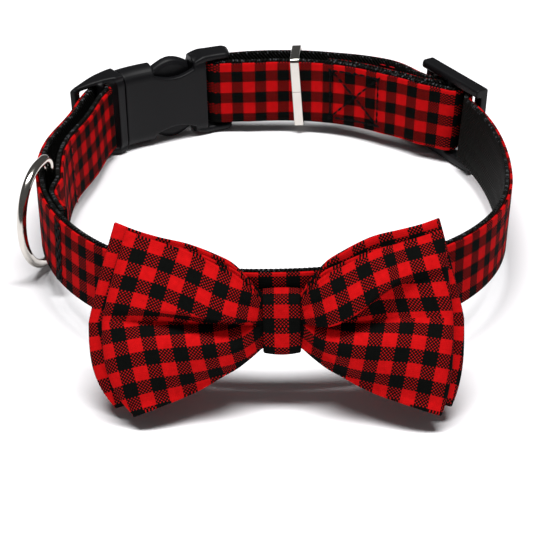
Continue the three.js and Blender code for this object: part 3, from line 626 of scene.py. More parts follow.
def band(name, path, run, section, bead=None):
    """A flat band swept along a strap path. Bead gives its woven edges' spacing and depth."""
    runs = unit(np.gradient(path, axis=0))
    sides = np.stack([-runs[:, 1], runs[:, 0]], axis=-1)
    offset, up = section[:, 0], section[:, 1]
    spots = path[:, None, :] + sides[:, None, :] * offset[None, :, None]
    ups = np.repeat(up[None, :], len(path), axis=0)
    if bead is not None:
        edge = smoothstep(np.abs(up), np.abs(up).max() - 1.0, np.abs(up).max())
        wave = np.abs(np.sin(math.pi * run / bead[0]))[:, None]
        ups = ups - np.sign(up) * edge * bead[1] * (1 - wave)
    points = LINE.place(spots[..., 0], spots[..., 1], ups).reshape(-1, 3)
    around = len(section)
    faces = outward(points, capped_tube(len(path), around))
    cloth = np.stack([np.repeat(run[:, None], around, axis=1), ups], axis=-1).reshape(-1, 2)
    return mesh_piece(name, points, faces, [cloth[f] for f in faces])


def finish_piece(piece, material, body, slot, *nodes):
    """Gives a piece its material and body, and hides the CAD nodes it stands for; its slot is not used."""
    if material is not None:
        piece.data.materials.clear()
        piece.data.materials.append(material)
    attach(piece, body)
    if nodes:
        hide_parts(*nodes)
    return piece


def add_node(tree, kind, inputs=None, **settings):
    """Adds a node with its settings. An input's value is a number, a colour, or a socket to link."""
    node = tree.nodes.new(kind)
    for name, value in settings.items():
        setattr(node, name, value)
    for name, value in (inputs or {}).items():
        if isinstance(value, bpy.types.NodeSocket):
            tree.links.new(value, node.inputs[name])
        else:
            node.inputs[name].default_value = value
    return node


def new_material(name):
    """An empty node material, its tree, its surface shader and nothing else."""
    material = bpy.data.materials.get(name) or bpy.data.materials.new(name)
    material.use_nodes = True
    tree = material.node_tree
    tree.nodes.clear()
    shader = add_node(tree, "ShaderNodeBsdfPrincipled")
    output = add_node(tree, "ShaderNodeOutputMaterial", {"Surface": shader.outputs["BSDF"]})
    output.location = (400, 0)
    return material, tree, shader


def opaque(colour_value):
    """A colour setting with full alpha."""
    return (*colour_value, 1.0)


def cotton_gingham(context):
    """Plain-woven cotton in red and black yarn: matt, with each thread's crown catching the light.

    Squares of one yarn are flat colour, and mixed squares are a fine checker of both yarns.
    A real square has about ten threads, too fine to show, so it is drawn with fewer, coarser ones.
    """
    cloth = context.scene.collar_cloth
    material, tree, shader = new_material("plain woven cotton gingham")
    place = add_node(tree, "ShaderNodeUVMap", uv_map="cloth_mm").outputs["UV"]
    split = add_node(tree, "ShaderNodeSeparateXYZ", {0: place})
    square = cloth.square / MM
    pitch = square / cloth.threads
    red_yarn, thread, crown = {}, {}, {}
    for axis in "XY":
        mm = split.outputs[axis]
        band_at = add_node(tree, "ShaderNodeMath", {0: mm, 1: 2 * square}, operation="DIVIDE")
        share = add_node(tree, "ShaderNodeMath", {0: band_at.outputs[0]}, operation="FRACT")
        red_yarn[axis] = add_node(
            tree, "ShaderNodeMath", {0: share.outputs[0], 1: 0.5}, operation="LESS_THAN").outputs[0]
        count = add_node(tree, "ShaderNodeMath", {0: mm, 1: pitch}, operation="DIVIDE")
        thread[axis] = add_node(
            tree, "ShaderNodeMath", {0: count.outputs[0]}, operation="FLOOR").outputs[0]
        across = add_node(tree, "ShaderNodeMath", {0: count.outputs[0], 1: math.pi}, operation="MULTIPLY")
        wave = add_node(tree, "ShaderNodeMath", {0: across.outputs[0]}, operation="SINE")
        crown[axis] = add_node(
            tree, "ShaderNodeMath", {0: wave.outputs[0]}, operation="ABSOLUTE").outputs[0]
    both = add_node(tree, "ShaderNodeMath", {0: thread["X"], 1: thread["Y"]}, operation="ADD")
    over = add_node(tree, "ShaderNodeMath", {0: both.outputs[0], 1: 2.0}, operation="FLOORED_MODULO")
    shown = add_node(
        tree, "ShaderNodeMix", {0: over.outputs[0], 2: red_yarn["X"], 3: red_yarn["Y"]}, data_type="FLOAT")
    relief = add_node(
        tree, "ShaderNodeMath", {0: crown["X"], 1: crown["Y"]}, operation="MULTIPLY")
    # In mixed squares only the crowns of the red threads show red between the black ones: partly the weave,
    # partly painted shade on the red threads' flanks
    solid = add_node(
        tree, "ShaderNodeMath", {0: red_yarn["X"], 1: red_yarn["Y"]}, operation="MULTIPLY")
    dot = add_node(
        tree, "ShaderNodeMapRange",
        {"Value": relief.outputs[0], "From Min": 0.22, "From Max": 0.5, "To Max": 0.85})
    red_weave_and_painted_shade = add_node(
        tree, "ShaderNodeMath", {0: solid.outputs[0], 1: dot.outputs[0]}, operation="MAXIMUM")
    red_share = add_node(
        tree, "ShaderNodeMath", {0: shown.outputs[0], 1: red_weave_and_painted_shade.outputs[0]}, operation="MULTIPLY")
    slub = add_node(
        tree, "ShaderNodeTexNoise", {"Vector": place, "Scale": 1.0 / (3 * pitch), "Detail": 2.0})
    yarn = add_node(
        tree, "ShaderNodeMix",
        {0: red_share.outputs[0], 6: opaque(cloth.black), 7: opaque(cloth.red)}, data_type="RGBA")
    light = add_node(
        tree, "ShaderNodeMapRange", {"Value": slub.outputs["Fac"], "To Min": 0.72, "To Max": 1.22})
    mottled = add_node(
        tree, "ShaderNodeMix", {0: 1.0, 6: yarn.outputs[2], 7: light.outputs[0]},
        data_type="RGBA", blend_type="MULTIPLY")
    specks = add_node(
        tree, "ShaderNodeTexVoronoi", {"Vector": place, "Scale": 1 / (4 * square)})
    fluff = add_node(
        tree, "ShaderNodeMath", {0: specks.outputs["Distance"], 1: 0.012}, operation="LESS_THAN")
    speckled = add_node(
        tree, "ShaderNodeMix",
        {0: fluff.outputs[0], 6: mottled.outputs[2], 7: opaque(linear("B9AAA6"))}, data_type="RGBA")
    tree.links.new(speckled.outputs[2], shader.inputs["Base Color"])
    bump = add_node(
        tree, "ShaderNodeBump",
        {"Strength": 0.35, "Distance": 0.12 * MM, "Height": relief.outputs[0]})
    tree.links.new(bump.outputs["Normal"], shader.inputs["Normal"])
    shader.inputs["Roughness"].default_value = 0.86
    shader.inputs["IOR"].default_value = 1.5
    shader.inputs["Specular IOR Level"].default_value = 0.02
    return material


def nylon_webbing(context):
    """Heavy woven nylon: near black, with slanting ribs, and edges flecked with painted highlights where
    the yarn crowns catch the light.
    """
    strap = context.scene.collar_strap
    material, tree, shader = new_material("woven nylon webbing")
    place = add_node(tree, "ShaderNodeUVMap", uv_map="cloth_mm").outputs["UV"]
    split = add_node(tree, "ShaderNodeSeparateXYZ", {0: place})
    rib = strap.rib / MM
    fold = add_node(tree, "ShaderNodeMath", {0: split.outputs["Y"], 1: 3.1}, operation="PINGPONG")
    slant = add_node(tree, "ShaderNodeMath", {0: fold.outputs[0], 1: 0.8}, operation="MULTIPLY")
    run = add_node(
        tree, "ShaderNodeMath", {0: split.outputs["X"], 1: slant.outputs[0]}, operation="ADD")
    turn = add_node(
        tree, "ShaderNodeMath", {0: run.outputs[0], 1: 2 * math.pi / rib}, operation="MULTIPLY")
    wave = add_node(tree, "ShaderNodeMath", {0: turn.outputs[0]}, operation="SINE")
    fine = add_node(
        tree, "ShaderNodeTexNoise", {"Vector": place, "Scale": 1.6, "Detail": 3.0, "Roughness": 0.7})
    height = add_node(
        tree, "ShaderNodeMath", {0: fine.outputs["Fac"], 1: 0.8, 2: wave.outputs[0]},
        operation="MULTIPLY_ADD")
    bump = add_node(
        tree, "ShaderNodeBump", {"Strength": 0.9, "Distance": 0.2 * MM, "Height": height.outputs[0]})
    tree.links.new(bump.outputs["Normal"], shader.inputs["Normal"])
    # The ribs' height is painted into the colour: painted light on their crowns, painted shade in their
    # grooves.
    light = add_node(
        tree, "ShaderNodeMapRange",
        {"Value": height.outputs[0], "From Min": -1.0, "From Max": 1.6, "To Min": 0.25, "To Max": 3.2})
    shade = add_node(
        tree, "ShaderNodeMix", {0: 1.0, 6: opaque(strap.nylon), 7: light.outputs[0]},
        data_type="RGBA", blend_type="MULTIPLY")
    # Painted highlights: pale spots on the yarn crowns, kept to the strap's edges, where the light catches
    # them.
    yarns = add_node(tree, "ShaderNodeTexVoronoi", {"Vector": place, "Scale": 1.25, "Randomness": 0.75})
    crown = add_node(
        tree, "ShaderNodeMapRange",
        {"Value": yarns.outputs["Distance"], "From Min": 0.4, "From Max": 0.15, "To Max": 0.8})
    off_middle = add_node(tree, "ShaderNodeMath", {0: split.outputs["Y"]}, operation="ABSOLUTE")
    edge = add_node(
        tree, "ShaderNodeMapRange",
        {"Value": off_middle.outputs[0], "From Min": STRAP_HALF - 1.4, "From Max": STRAP_HALF - 0.8})
    painted_highlight_spots = add_node(
        tree, "ShaderNodeMath", {0: crown.outputs[0], 1: edge.outputs[0]}, operation="MULTIPLY")
    flecked = add_node(
        tree, "ShaderNodeMix",
        {0: painted_highlight_spots.outputs[0], 6: shade.outputs[2], 7: opaque(strap.sheen)}, data_type="RGBA")
    tree.links.new(flecked.outputs[2], shader.inputs["Base Color"])
    shader.inputs["Roughness"].default_value = 0.62
    shader.inputs["IOR"].default_value = 1.53
    shader.inputs["Specular IOR Level"].default_value = 0.03
    return material


def moulded_acetal(context):
    """Injection-moulded acetal: satin black, with a fine spark-eroded grain that softens highlights."""
    hardware = context.scene.collar_hardware
    material, tree, shader = new_material("moulded acetal plastic")
    place = add_node(tree, "ShaderNodeTexCoord").outputs["Object"]
    grain = add_node(
        tree, "ShaderNodeTexNoise", {"Vector": place, "Scale": 1 / (0.5 * MM), "Detail": 2.0})
    cloud = add_node(
        tree, "ShaderNodeTexNoise", {"Vector": place, "Scale": 1 / (9 * MM), "Detail": 3.0})
    bump = add_node(
        tree, "ShaderNodeBump",
        {"Strength": 0.22, "Distance": 0.06 * MM, "Height": grain.outputs["Fac"]})
    tree.links.new(bump.outputs["Normal"], shader.inputs["Normal"])
    rough = add_node(
        tree, "ShaderNodeMapRange", {"Value": cloud.outputs["Fac"], "To Min": 0.4, "To Max": 0.55})
    tree.links.new(rough.outputs[0], shader.inputs["Roughness"])
    light = add_node(
        tree, "ShaderNodeMapRange", {"Value": cloud.outputs["Fac"], "To Min": 0.85, "To Max": 1.15})
    shade = add_node(
        tree, "ShaderNodeMix", {0: 1.0, 6: opaque(hardware.plastic), 7: light.outputs[0]},
        data_type="RGBA", blend_type="MULTIPLY")
    tree.links.new(shade.outputs[2], shader.inputs["Base Color"])
    shader.inputs["IOR"].default_value = 1.48
    shader.inputs["Specular IOR Level"].default_value = 0.17
    return material


def nickel_plate(context):
    """Nickel-plated steel: a warm bright mirror, slightly clouded, with fine handling marks."""
    hardware = context.scene.collar_hardware
    material, tree, shader = new_material("nickel plated steel")
    place = add_node(tree, "ShaderNodeTexCoord").outputs["Object"]
    cloud = add_node(
        tree, "ShaderNodeTexNoise", {"Vector": place, "Scale": 1 / (4 * MM), "Detail": 4.0})
    rough = add_node(
        tree, "ShaderNodeMapRange", {"Value": cloud.outputs["Fac"], "To Min": 0.08, "To Max": 0.2})
    tree.links.new(rough.outputs[0], shader.inputs["Roughness"])
    marks = add_node(
        tree, "ShaderNodeTexNoise", {"Vector": place, "Scale": 1 / (0.8 * MM), "Detail": 2.0})
    bump = add_node(
        tree, "ShaderNodeBump",
        {"Strength": 0.08, "Distance": 0.03 * MM, "Height": marks.outputs["Fac"]})
    tree.links.new(bump.outputs["Normal"], shader.inputs["Normal"])
    light = add_node(
        tree, "ShaderNodeMapRange", {"Value": cloud.outputs["Fac"], "To Min": 0.9, "To Max": 1.06})
    shade = add_node(
        tree, "ShaderNodeMix", {0: 1.0, 6: opaque(hardware.nickel), 7: light.outputs[0]},
        data_type="RGBA", blend_type="MULTIPLY")
    tree.links.new(shade.outputs[2], shader.inputs["Base Color"])
    shader.inputs["Metallic"].default_value = 1.0
    return material


def spun_thread(name, thread_colour):
    """Twisted polyester sewing thread: a soft gloss broken up by the ply's turns."""
    material, tree, shader = new_material(name)
    place = add_node(tree, "ShaderNodeTexCoord").outputs["Object"]
    ply = add_node(
        tree, "ShaderNodeTexNoise", {"Vector": place, "Scale": 1 / (0.4 * MM), "Detail": 1.0})
    # The ply's relief is painted into the colour as light and shade.
    light = add_node(
        tree, "ShaderNodeMapRange", {"Value": ply.outputs["Fac"], "To Min": 0.6, "To Max": 1.3})
    shade = add_node(
        tree, "ShaderNodeMix", {0: 1.0, 6: opaque(thread_colour), 7: light.outputs[0]},
        data_type="RGBA", blend_type="MULTIPLY")
    tree.links.new(shade.outputs[2], shader.inputs["Base Color"])
    bump = add_node(
        tree, "ShaderNodeBump",
        {"Strength": 0.4, "Distance": 0.05 * MM, "Height": ply.outputs["Fac"]})
    tree.links.new(bump.outputs["Normal"], shader.inputs["Normal"])
    shader.inputs["Roughness"].default_value = 0.55
    shader.inputs["IOR"].default_value = 1.53
    shader.inputs["Specular IOR Level"].default_value = 0.04
    return material


class COLLAR_OT_webbing(bpy.types.Operator):
    """Weave the nylon webbing, from its folded end round to its sewn tail"""

    bl_idname = "collar.webbing"
    bl_label = "Webbing"

    def execute(self, context):
        strap = context.scene.collar_strap
        path, run = strap_path(0.5)
        half = strap.webbing_thick / MM / 2
        section = ring_section(-half, half, STRAP_HALF, 9)
        bead = (strap.bead / MM, strap.bead_depth / MM)
        piece = band("webbing", path, run, section, bead)
        finish_piece(piece, nylon_webbing(context), "collar", "webbing", "strap_webbing")
        return {"FINISHED"}


class COLLAR_OT_cover(bpy.types.Operator):
    """Lay the gingham cover on the webbing's outer face"""

    bl_idname = "collar.cover"
    bl_label = "Cover"

    def execute(self, context):
        strap = context.scene.collar_strap
        path, run = strap_path(0.7)
        low = (strap.webbing_thick / 2 + strap.cover_gap) / MM
        high = low + strap.cover_thick / MM
        half = STRAP_HALF - strap.cover_inset / MM
        piece = band("gingham_cover", path, run, ring_section(low, high, half, 13))
        # The cloth is cut so that a red row lies at its top edge
        layer = piece.data.uv_layers["cloth_mm"]
        places = np.zeros(len(layer.data) * 2, np.float32)
        layer.data.foreach_get("uv", places)
        places[1::2] += COVER.top_row - half
        places[1::2] += COVER.wander * np.cos(2 * math.pi * (places[0::2] - COVER.highest) / COVER.wave)
        turn_at = run[np.argmax(path[:, 0])]
        past_turn = smoothstep(places[0::2], turn_at - COVER.turn_half, turn_at + COVER.turn_half)
        places[0::2] += COVER.along - COVER.set_back * past_turn
        layer.data.foreach_set("uv", places)
        finish_piece(piece, cotton_gingham(context), "collar", "gingham", "strap_cover")
        return {"FINISHED"}


def loft(*stations):
    """A closed straight solid through stations, each a place along and its section (out, up)."""
    count = len(stations[0][1])
    points = np.concatenate([
        np.column_stack([np.full(count, at), np.asarray(section, float)]) for at, section in stations])
    return points, outward(points, capped_tube(len(stations), count))


def prism(section, start, end):
    """A closed straight prism: its section (out, up) runs along from start to end."""
    return loft((start, section), (end, section))


def plate(outline, inner, outer):
    """A closed straight plate: its outline (along, up) runs out from inner to outer."""
    outline = np.asarray(outline, float)
    count = len(outline)
    points = np.concatenate([
        np.column_stack([outline[:, 0], np.full(count, at), outline[:, 1]]) for at in (inner, outer)])
    return points, outward(points, capped_tube(2, count))


def rounded(x0, x1, y0, y1, edge, steps=6):
    """A rectangle with round corners."""
    corners = ((x1 - edge, y0 + edge, -90), (x1 - edge, y1 - edge, 0),
               (x0 + edge, y1 - edge, 90), (x0 + edge, y0 + edge, 180))
    turns = np.linspace(0, 90, steps + 1)
    return [
        (x + edge * math.cos(math.radians(start + a)), y + edge * math.sin(math.radians(start + a)))
        for x, y, start in corners for a in turns
    ]


def bar_shape(along, out, radius, half, sides=24):
    """A round upright bar across the strap."""
    turns = np.linspace(0, 2 * math.pi, sides, endpoint=False)
    points = np.concatenate([
        np.column_stack([along + radius * np.cos(turns), out + radius * np.sin(turns),
                         np.full(sides, up)]) for up in (-half, half)])
    return points, outward(points, capped_tube(2, sides))


def arch(start, end, foot, peak, steps=24):
    """A smooth hump (along, up) from start to end, foot high at its ends and peak high at its middle."""
    shares = np.linspace(0, 1, steps + 1)
    return [(start + (end - start) * t, foot + (peak - foot) * math.sin(math.pi * t)) for t in shares]


def straight_object(name, shapes):
    """A scratch object that holds closed shapes in straight strap axes, in millimetres."""
    mesh = bpy.data.meshes.new(name)
    points, faces = [], []
    for shape_points, shape_faces in shapes:
        start = len(points)
        points.extend(shape_points.tolist())
        faces.extend([[int(k) + start for k in f] for f in shape_faces])
    mesh.from_pydata(points, [], faces)
    return new_object(name, mesh)


def evaluated_mesh(made):
    """The object's mesh with its modifiers applied."""
    graph = bpy.context.evaluated_depsgraph_get()
    return bpy.data.meshes.new_from_object(made.evaluated_get(graph), depsgraph=graph)


def moulded(name, shapes, place, grain, hollow=()):
    """A moulded piece: shapes are fused, hollows taken from the first, edges softened, then placed."""
    core = straight_object(name + "_core", shapes[:1] if hollow else shapes)
    scratch = [core]
    for k, shape in enumerate(hollow):
        cutter = straight_object(f"{name}_cutter_{k}", [shape])
        scratch.append(cutter)
        cut = core.modifiers.new("hollow", "BOOLEAN")
        cut.operation = "DIFFERENCE"
        cut.solver = "EXACT"
        cut.object = cutter
    mesh = evaluated_mesh(core)
    if hollow:
        core.modifiers.clear()
        core.data = mesh
        joined = bmesh.new()
        joined.from_mesh(mesh)
        rest = straight_object(name + "_rest", shapes[1:])
        scratch.append(rest)
        joined.from_mesh(rest.data)
        joined.to_mesh(mesh)
        joined.free()
    whole = new_object(name + "_whole", mesh)
    scratch.append(whole)
    remesh = whole.modifiers.new("fuse", "REMESH")
    remesh.mode = "VOXEL"
    remesh.voxel_size = grain
    soften = whole.modifiers.new("soften", "SMOOTH")
    soften.factor = 0.5
    soften.iterations = 5
    mesh = evaluated_mesh(whole)
    co = np.zeros(len(mesh.vertices) * 3, np.float32)
    mesh.vertices.foreach_get("co", co)
    co = co.reshape(-1, 3).astype(float)
    mesh.vertices.foreach_set("co", (place(co[:, 0], co[:, 1], co[:, 2]) * MM).astype(np.float32).ravel())
    faces_out(mesh)
    mesh.shade_smooth()
    for made in scratch:
        bpy.data.objects.remove(made)
    return new_object(name, mesh)


def faces_out(mesh):
    """Turns a closed mesh's faces outwards."""
    shape = bmesh.new()
    shape.from_mesh(mesh)
    bmesh.ops.recalc_face_normals(shape, faces=shape.faces)
    shape.to_mesh(mesh)
    shape.free()
    mesh.update()


class COLLAR_OT_buckle(bpy.types.Operator):
    """Mould the two halves of the side-release buckle, curved with the loop"""

    bl_idname = "collar.buckle"
    bl_label = "Buckle"

    def execute(self, context):
        grain = context.scene.collar_hardware.grain / MM
        plastic = moulded_acetal(context)
        body_section = rounded(*BODY_OUT, -BODY_HALF, BODY_HALF, BODY_EDGE)

        def on_buckle(along, out, up):
            past = np.maximum(0, along - PRONG_BAR) / (END_BAR[1] - PRONG_BAR)
            return LINE.place(BUCKLE_AT + along, out + STAND_OFF * past ** 2, up)

        def rail(side, out, high, shrink=0.0):
            """The section of a rail at the strap's upper or lower edge."""
            ups = sorted((side * RAIL_UP[0], side * (high - shrink)))
            edge = min(RAIL_EDGE, (high - shrink - RAIL_UP[0]) * 0.45)
            return rounded(out[0] + shrink, out[1] - shrink, *ups, edge)

        hollow = [prism(rounded(*SOCKET_OUT, -SOCKET_HALF, SOCKET_HALF, SOCKET_EDGE), *SOCKET_HOLLOW)]
        for side in (1, -1):
            dip = arch(*WINDOW, WINDOW_EDGE, WINDOW_DEPTH)
            outline = [(a, side * up) for a, up in dip]
            outline += [(WINDOW[1], side * WINDOW_REACH), (WINDOW[0], side * WINDOW_REACH)]
            hollow.append(plate(outline, BODY_OUT[0] - 1, BODY_OUT[1] + 1))
        shapes = [prism(body_section, *SOCKET_BODY)]
        shapes.append(bar_shape(SOCKET_BAR, BAR_OUT, BAR_RADIUS, BAR_HALF))
        # Rails that round off towards their free ends
        for side in (1, -1):
            shapes.append(loft(*[
                (SOCKET_RAIL_END + RAIL_ROUND * (1 - math.cos(a)),
                 rail(side, RAIL_OUT, RAIL_UP[1], RAIL_SHRINK * (1 - math.sin(a))))
                for a in np.radians(RAIL_ROUND_TURNS)
            ], *[(at, rail(side, (RAIL_OUT[0] - fuller, RAIL_OUT[1] + fuller), high))
                 for at, fuller, high in SOCKET_RAMP]))
        socket = moulded("buckle_socket", shapes, on_buckle, grain, hollow)
        finish_piece(socket, plastic, "collar", "plastic", "buckle_female")

        shapes = [prism(body_section, *PRONG_BASE)]
        shapes.append(bar_shape(PRONG_BAR, BAR_OUT, BAR_RADIUS, BAR_HALF))
        end_section = rounded(*END_BAR_OUT, -END_BAR_HALF, END_BAR_HALF, PRONG_EDGE)
        shapes.append(prism(end_section, *END_BAR))
        root = PRONG_BASE[0] + 1
        tongue = rounded(*PRONG_OUT, -TONGUE_HALF, TONGUE_HALF, PRONG_EDGE)
        shapes.append(prism(tongue, TONGUE_TIP, root))
        for side in (1, -1):
            shapes.append(loft(
                *[(at, rail(side, out, high)) for at, out, high in ARM_ROOTS],
                (END_BAR[0] + 1, rail(side, END_BAR_OUT, END_BAR_HALF)),
                (END_BAR[1], rail(side, END_BAR_OUT, END_BAR_HALF, ARM_SHRINK))))
            # The prong's spring arm, and its thumb button in steps that round it towards the neck
            low, high = PRONG_UP
            arm = [(root, low), (PRONG_TIP, low), (PRONG_TIP, high), (root, high)]
            shapes.append(plate([(a, side * up) for a, up in arm], *PRONG_OUT))
            for share in np.linspace(0, BUTTON_ROUND_SHARE, BUTTON_STEPS):
                inner = PRONG_OUT[0] + share * (PRONG_OUT[1] - PRONG_OUT[0])
                lower = BUTTON_ROUND * (1 - math.sqrt(1 - (1 - share / BUTTON_ROUND_SHARE) ** 2))
                hump = arch(*BUTTON, BUTTON_FOOT - lower, BUTTON_PEAK - lower)
                outline = [(BUTTON[1], PRONG_UP[0] + 1), (BUTTON[0], PRONG_UP[0] + 1), *hump]
                shapes.append(plate([(a, side * up) for a, up in outline], inner, PRONG_OUT[1]))
        prong = moulded("buckle_prongs", shapes, on_buckle, grain)
        finish_piece(prong, plastic, "collar", "plastic", "buckle_male")
        return {"FINISHED"}


class COLLAR_OT_slider(bpy.types.Operator):
    """Mould the flat three-bar slider"""

    bl_idname = "collar.slider"
    bl_label = "Slider"

    def execute(self, context):
        grain = context.scene.collar_hardware.grain / MM
        reach = SLIDER_RAIL[0] + 2
        shapes = []
        for side in (1, -1):
            ups = sorted((side * SLIDER_RAIL[0], side * SLIDER_RAIL[1]))
            shapes.append(prism(rounded(*SLIDER_OUT, *ups, SLIDER_EDGE), -SLIDER_HALF, SLIDER_HALF))
            ends = sorted((side * SLIDER_BAR_FROM, side * SLIDER_HALF))
            shapes.append(prism(rounded(SLIDER_FACE, SLIDER_OUT[1], -reach, reach, SLIDER_EDGE), *ends))
        shapes.append(bar_shape(0, SLIDER_MIDDLE_OUT, SLIDER_MIDDLE_RADIUS, SLIDER_RAIL[0] + 1))

        def on_slider(along, out, up):
            return LINE.straight(SLIDER_AT, along, out, up)

        piece = moulded("strap_slider", shapes, on_slider, grain)
        finish_piece(piece, moulded_acetal(context), "collar", "plastic", "slider")
        return {"FINISHED"}


def socket_of(tree, name):
    """The identifier of a node tree's input."""
    return next(s.identifier for s in tree.interface.items_tree if s.name == name and s.in_out == "INPUT")


def node_tree(name, inputs):
    """A geometry node tree with its named inputs. Returns the tree and its two end nodes."""
    tree = bpy.data.node_groups.new(name, "GeometryNodeTree")
    tree.interface.new_socket(name="Geometry", in_out="OUTPUT", socket_type="NodeSocketGeometry")
    tree.interface.new_socket(name="Geometry", in_out="INPUT", socket_type="NodeSocketGeometry")
    for label, kind in inputs:
        tree.interface.new_socket(name=label, in_out="INPUT", socket_type=kind)
    return tree, add_node(tree, "NodeGroupInput"), add_node(tree, "NodeGroupOutput")


def wire_tree():
    """Round wire swept along a line."""
    tree, source, sink = node_tree(
        "Wire", [("Diameter", "NodeSocketFloat"), ("Material", "NodeSocketMaterial")])
    line = add_node(tree, "GeometryNodeMeshToCurve", {"Mesh": source.outputs["Geometry"]})
    radius = add_node(
        tree, "ShaderNodeMath", {0: source.outputs["Diameter"], 1: 0.5}, operation="MULTIPLY")
    disc = add_node(
        tree, "GeometryNodeCurvePrimitiveCircle", {"Resolution": 28, "Radius": radius.outputs[0]})
    tube = add_node(
        tree, "GeometryNodeCurveToMesh",
        {"Curve": line.outputs["Curve"], "Profile Curve": disc.outputs["Curve"], "Fill Caps": True})
    smooth = add_node(tree, "GeometryNodeSetShadeSmooth", {"Geometry": tube.outputs["Mesh"]})
    real = add_node(tree, "GeometryNodeRealizeInstances", {"Geometry": smooth.outputs["Geometry"]})
    painted = add_node(
        tree, "GeometryNodeSetMaterial",
        {"Geometry": real.outputs["Geometry"], "Material": source.outputs["Material"]})
    tree.links.new(painted.outputs["Geometry"], sink.inputs["Geometry"])
    return tree


def stitch_tree():
    """Stitches laid end to end along lines, each a plump grain of thread."""
    tree, source, sink = node_tree("Stitches", [
        ("Stitch", "NodeSocketFloat"), ("Gap", "NodeSocketFloat"),
        ("Thread", "NodeSocketFloat"), ("Material", "NodeSocketMaterial")])
    line = add_node(tree, "GeometryNodeMeshToCurve", {"Mesh": source.outputs["Geometry"]})
    pitch = add_node(
        tree, "ShaderNodeMath", {0: source.outputs["Stitch"], 1: source.outputs["Gap"]}, operation="ADD")
    spots = add_node(
        tree, "GeometryNodeCurveToPoints",
        {"Curve": line.outputs["Curve"], "Length": pitch.outputs[0]}, mode="LENGTH")
    aim = add_node(
        tree, "FunctionNodeAlignRotationToVector", {"Vector": spots.outputs["Tangent"]}, axis="Z")
    grain = add_node(
        tree, "GeometryNodeMeshUVSphere", {"Segments": 8, "Rings": 6, "Radius": 0.5})
    size = add_node(
        tree, "ShaderNodeCombineXYZ",
        {"X": source.outputs["Thread"], "Y": source.outputs["Thread"], "Z": source.outputs["Stitch"]})
    laid = add_node(
        tree, "GeometryNodeInstanceOnPoints",
        {"Points": spots.outputs["Points"], "Instance": grain.outputs["Mesh"],
         "Rotation": aim.outputs["Rotation"], "Scale": size.outputs["Vector"]})
    real = add_node(tree, "GeometryNodeRealizeInstances", {"Geometry": laid.outputs["Instances"]})
    smooth = add_node(tree, "GeometryNodeSetShadeSmooth", {"Geometry": real.outputs["Geometry"]})
    painted = add_node(
        tree, "GeometryNodeSetMaterial",
        {"Geometry": smooth.outputs["Geometry"], "Material": source.outputs["Material"]})
    tree.links.new(painted.outputs["Geometry"], sink.inputs["Geometry"])
    return tree


def line_object(name, lines):
    """An object of bare lines, each a list of points in millimetres, closed where it says so."""
    points, edges = [], []
    for line, closed in lines:
        start = len(points)
        points.extend((np.asarray(line) * MM).tolist())
        edges.extend([(k, k + 1) for k in range(start, len(points) - 1)])
        if closed:
            edges.append((len(points) - 1, start))
    mesh = bpy.data.meshes.new(name)
    mesh.from_pydata(points, edges, [])
    return new_object(name, mesh)


def grown(name, lines, tree, values):
    """A plain mesh made by a node tree from lines, with the tree's inputs set by name."""
    made = line_object(name, lines)
    modifier = made.modifiers.new("grow", "NODES")
    modifier.node_group = tree
    for label, value in values.items():
        modifier[socket_of(tree, label)] = value
    mesh = evaluated_mesh(made)
    made.modifiers.clear()
    made.data = mesh
    return made


class COLLAR_OT_keeper(bpy.types.Operator):
    """Bend the flat metal keeper round the two rear layers, with its butt joint inside"""

    bl_idname = "collar.keeper"
    bl_label = "Keeper"

    def execute(self, context):
        strap = context.scene.collar_strap
        hardware = context.scene.collar_hardware
        face = (strap.webbing_thick / 2 + strap.cover_gap + strap.cover_thick) / MM
        clear = hardware.keeper_clearance / MM
        thick = hardware.keeper_thick / MM
        half = STRAP_HALF + clear
        inner, outer = REAR_LAYER - face - clear, face + clear
        middle = np.array(rounded(
            inner - thick / 2, outer + thick / 2, -half - thick / 2, half + thick / 2,
            KEEPER_BEND - thick / 2))
        # The strip starts and ends at its joint
        turns = np.arctan2(middle[:, 1] - KEEPER_JOINT_UP, middle[:, 0] - inner - 2) - math.pi
        middle = middle[np.argsort(np.mod(turns, 2 * math.pi))]
        start, end = (
            (inner - thick / 2, KEEPER_JOINT_UP + side * KEEPER_JOINT_HALF) for side in (-1, 1))
        line = np.vstack([start, middle, end])
        runs = unit(np.gradient(line, axis=0))
        runs[0], runs[-1] = unit(line[1] - line[0]), unit(line[-1] - line[-2])
        sides = np.stack([-runs[:, 1], runs[:, 0]], axis=-1)
        wide = hardware.keeper_width / MM
        section = np.array(rounded(-thick / 2, thick / 2, -wide / 2, wide / 2, KEEPER_EDGE, 3))
        spots = line[:, None, :] + sides[:, None, :] * section[None, :, :1]
        along = np.repeat(section[None, :, 1], len(line), axis=0)
        points = np.stack([along, spots[..., 0], spots[..., 1]], axis=-1).reshape(-1, 3)
        faces = capped_tube(len(line), len(section))
        tilt = hardware.keeper_tilt
        along = points[:, 0] * math.cos(tilt) + points[:, 2] * math.sin(tilt)
        up = points[:, 2] * math.cos(tilt) - points[:, 0] * math.sin(tilt)
        points = LINE.straight(KEEPER_AT, along, points[:, 1], up)
        piece = mesh_piece("metal_keeper", points, outward(points, faces), sharp=40)
        finish_piece(piece, nickel_plate(context), "collar", "nickel", "keeper")
        return {"FINISHED"}


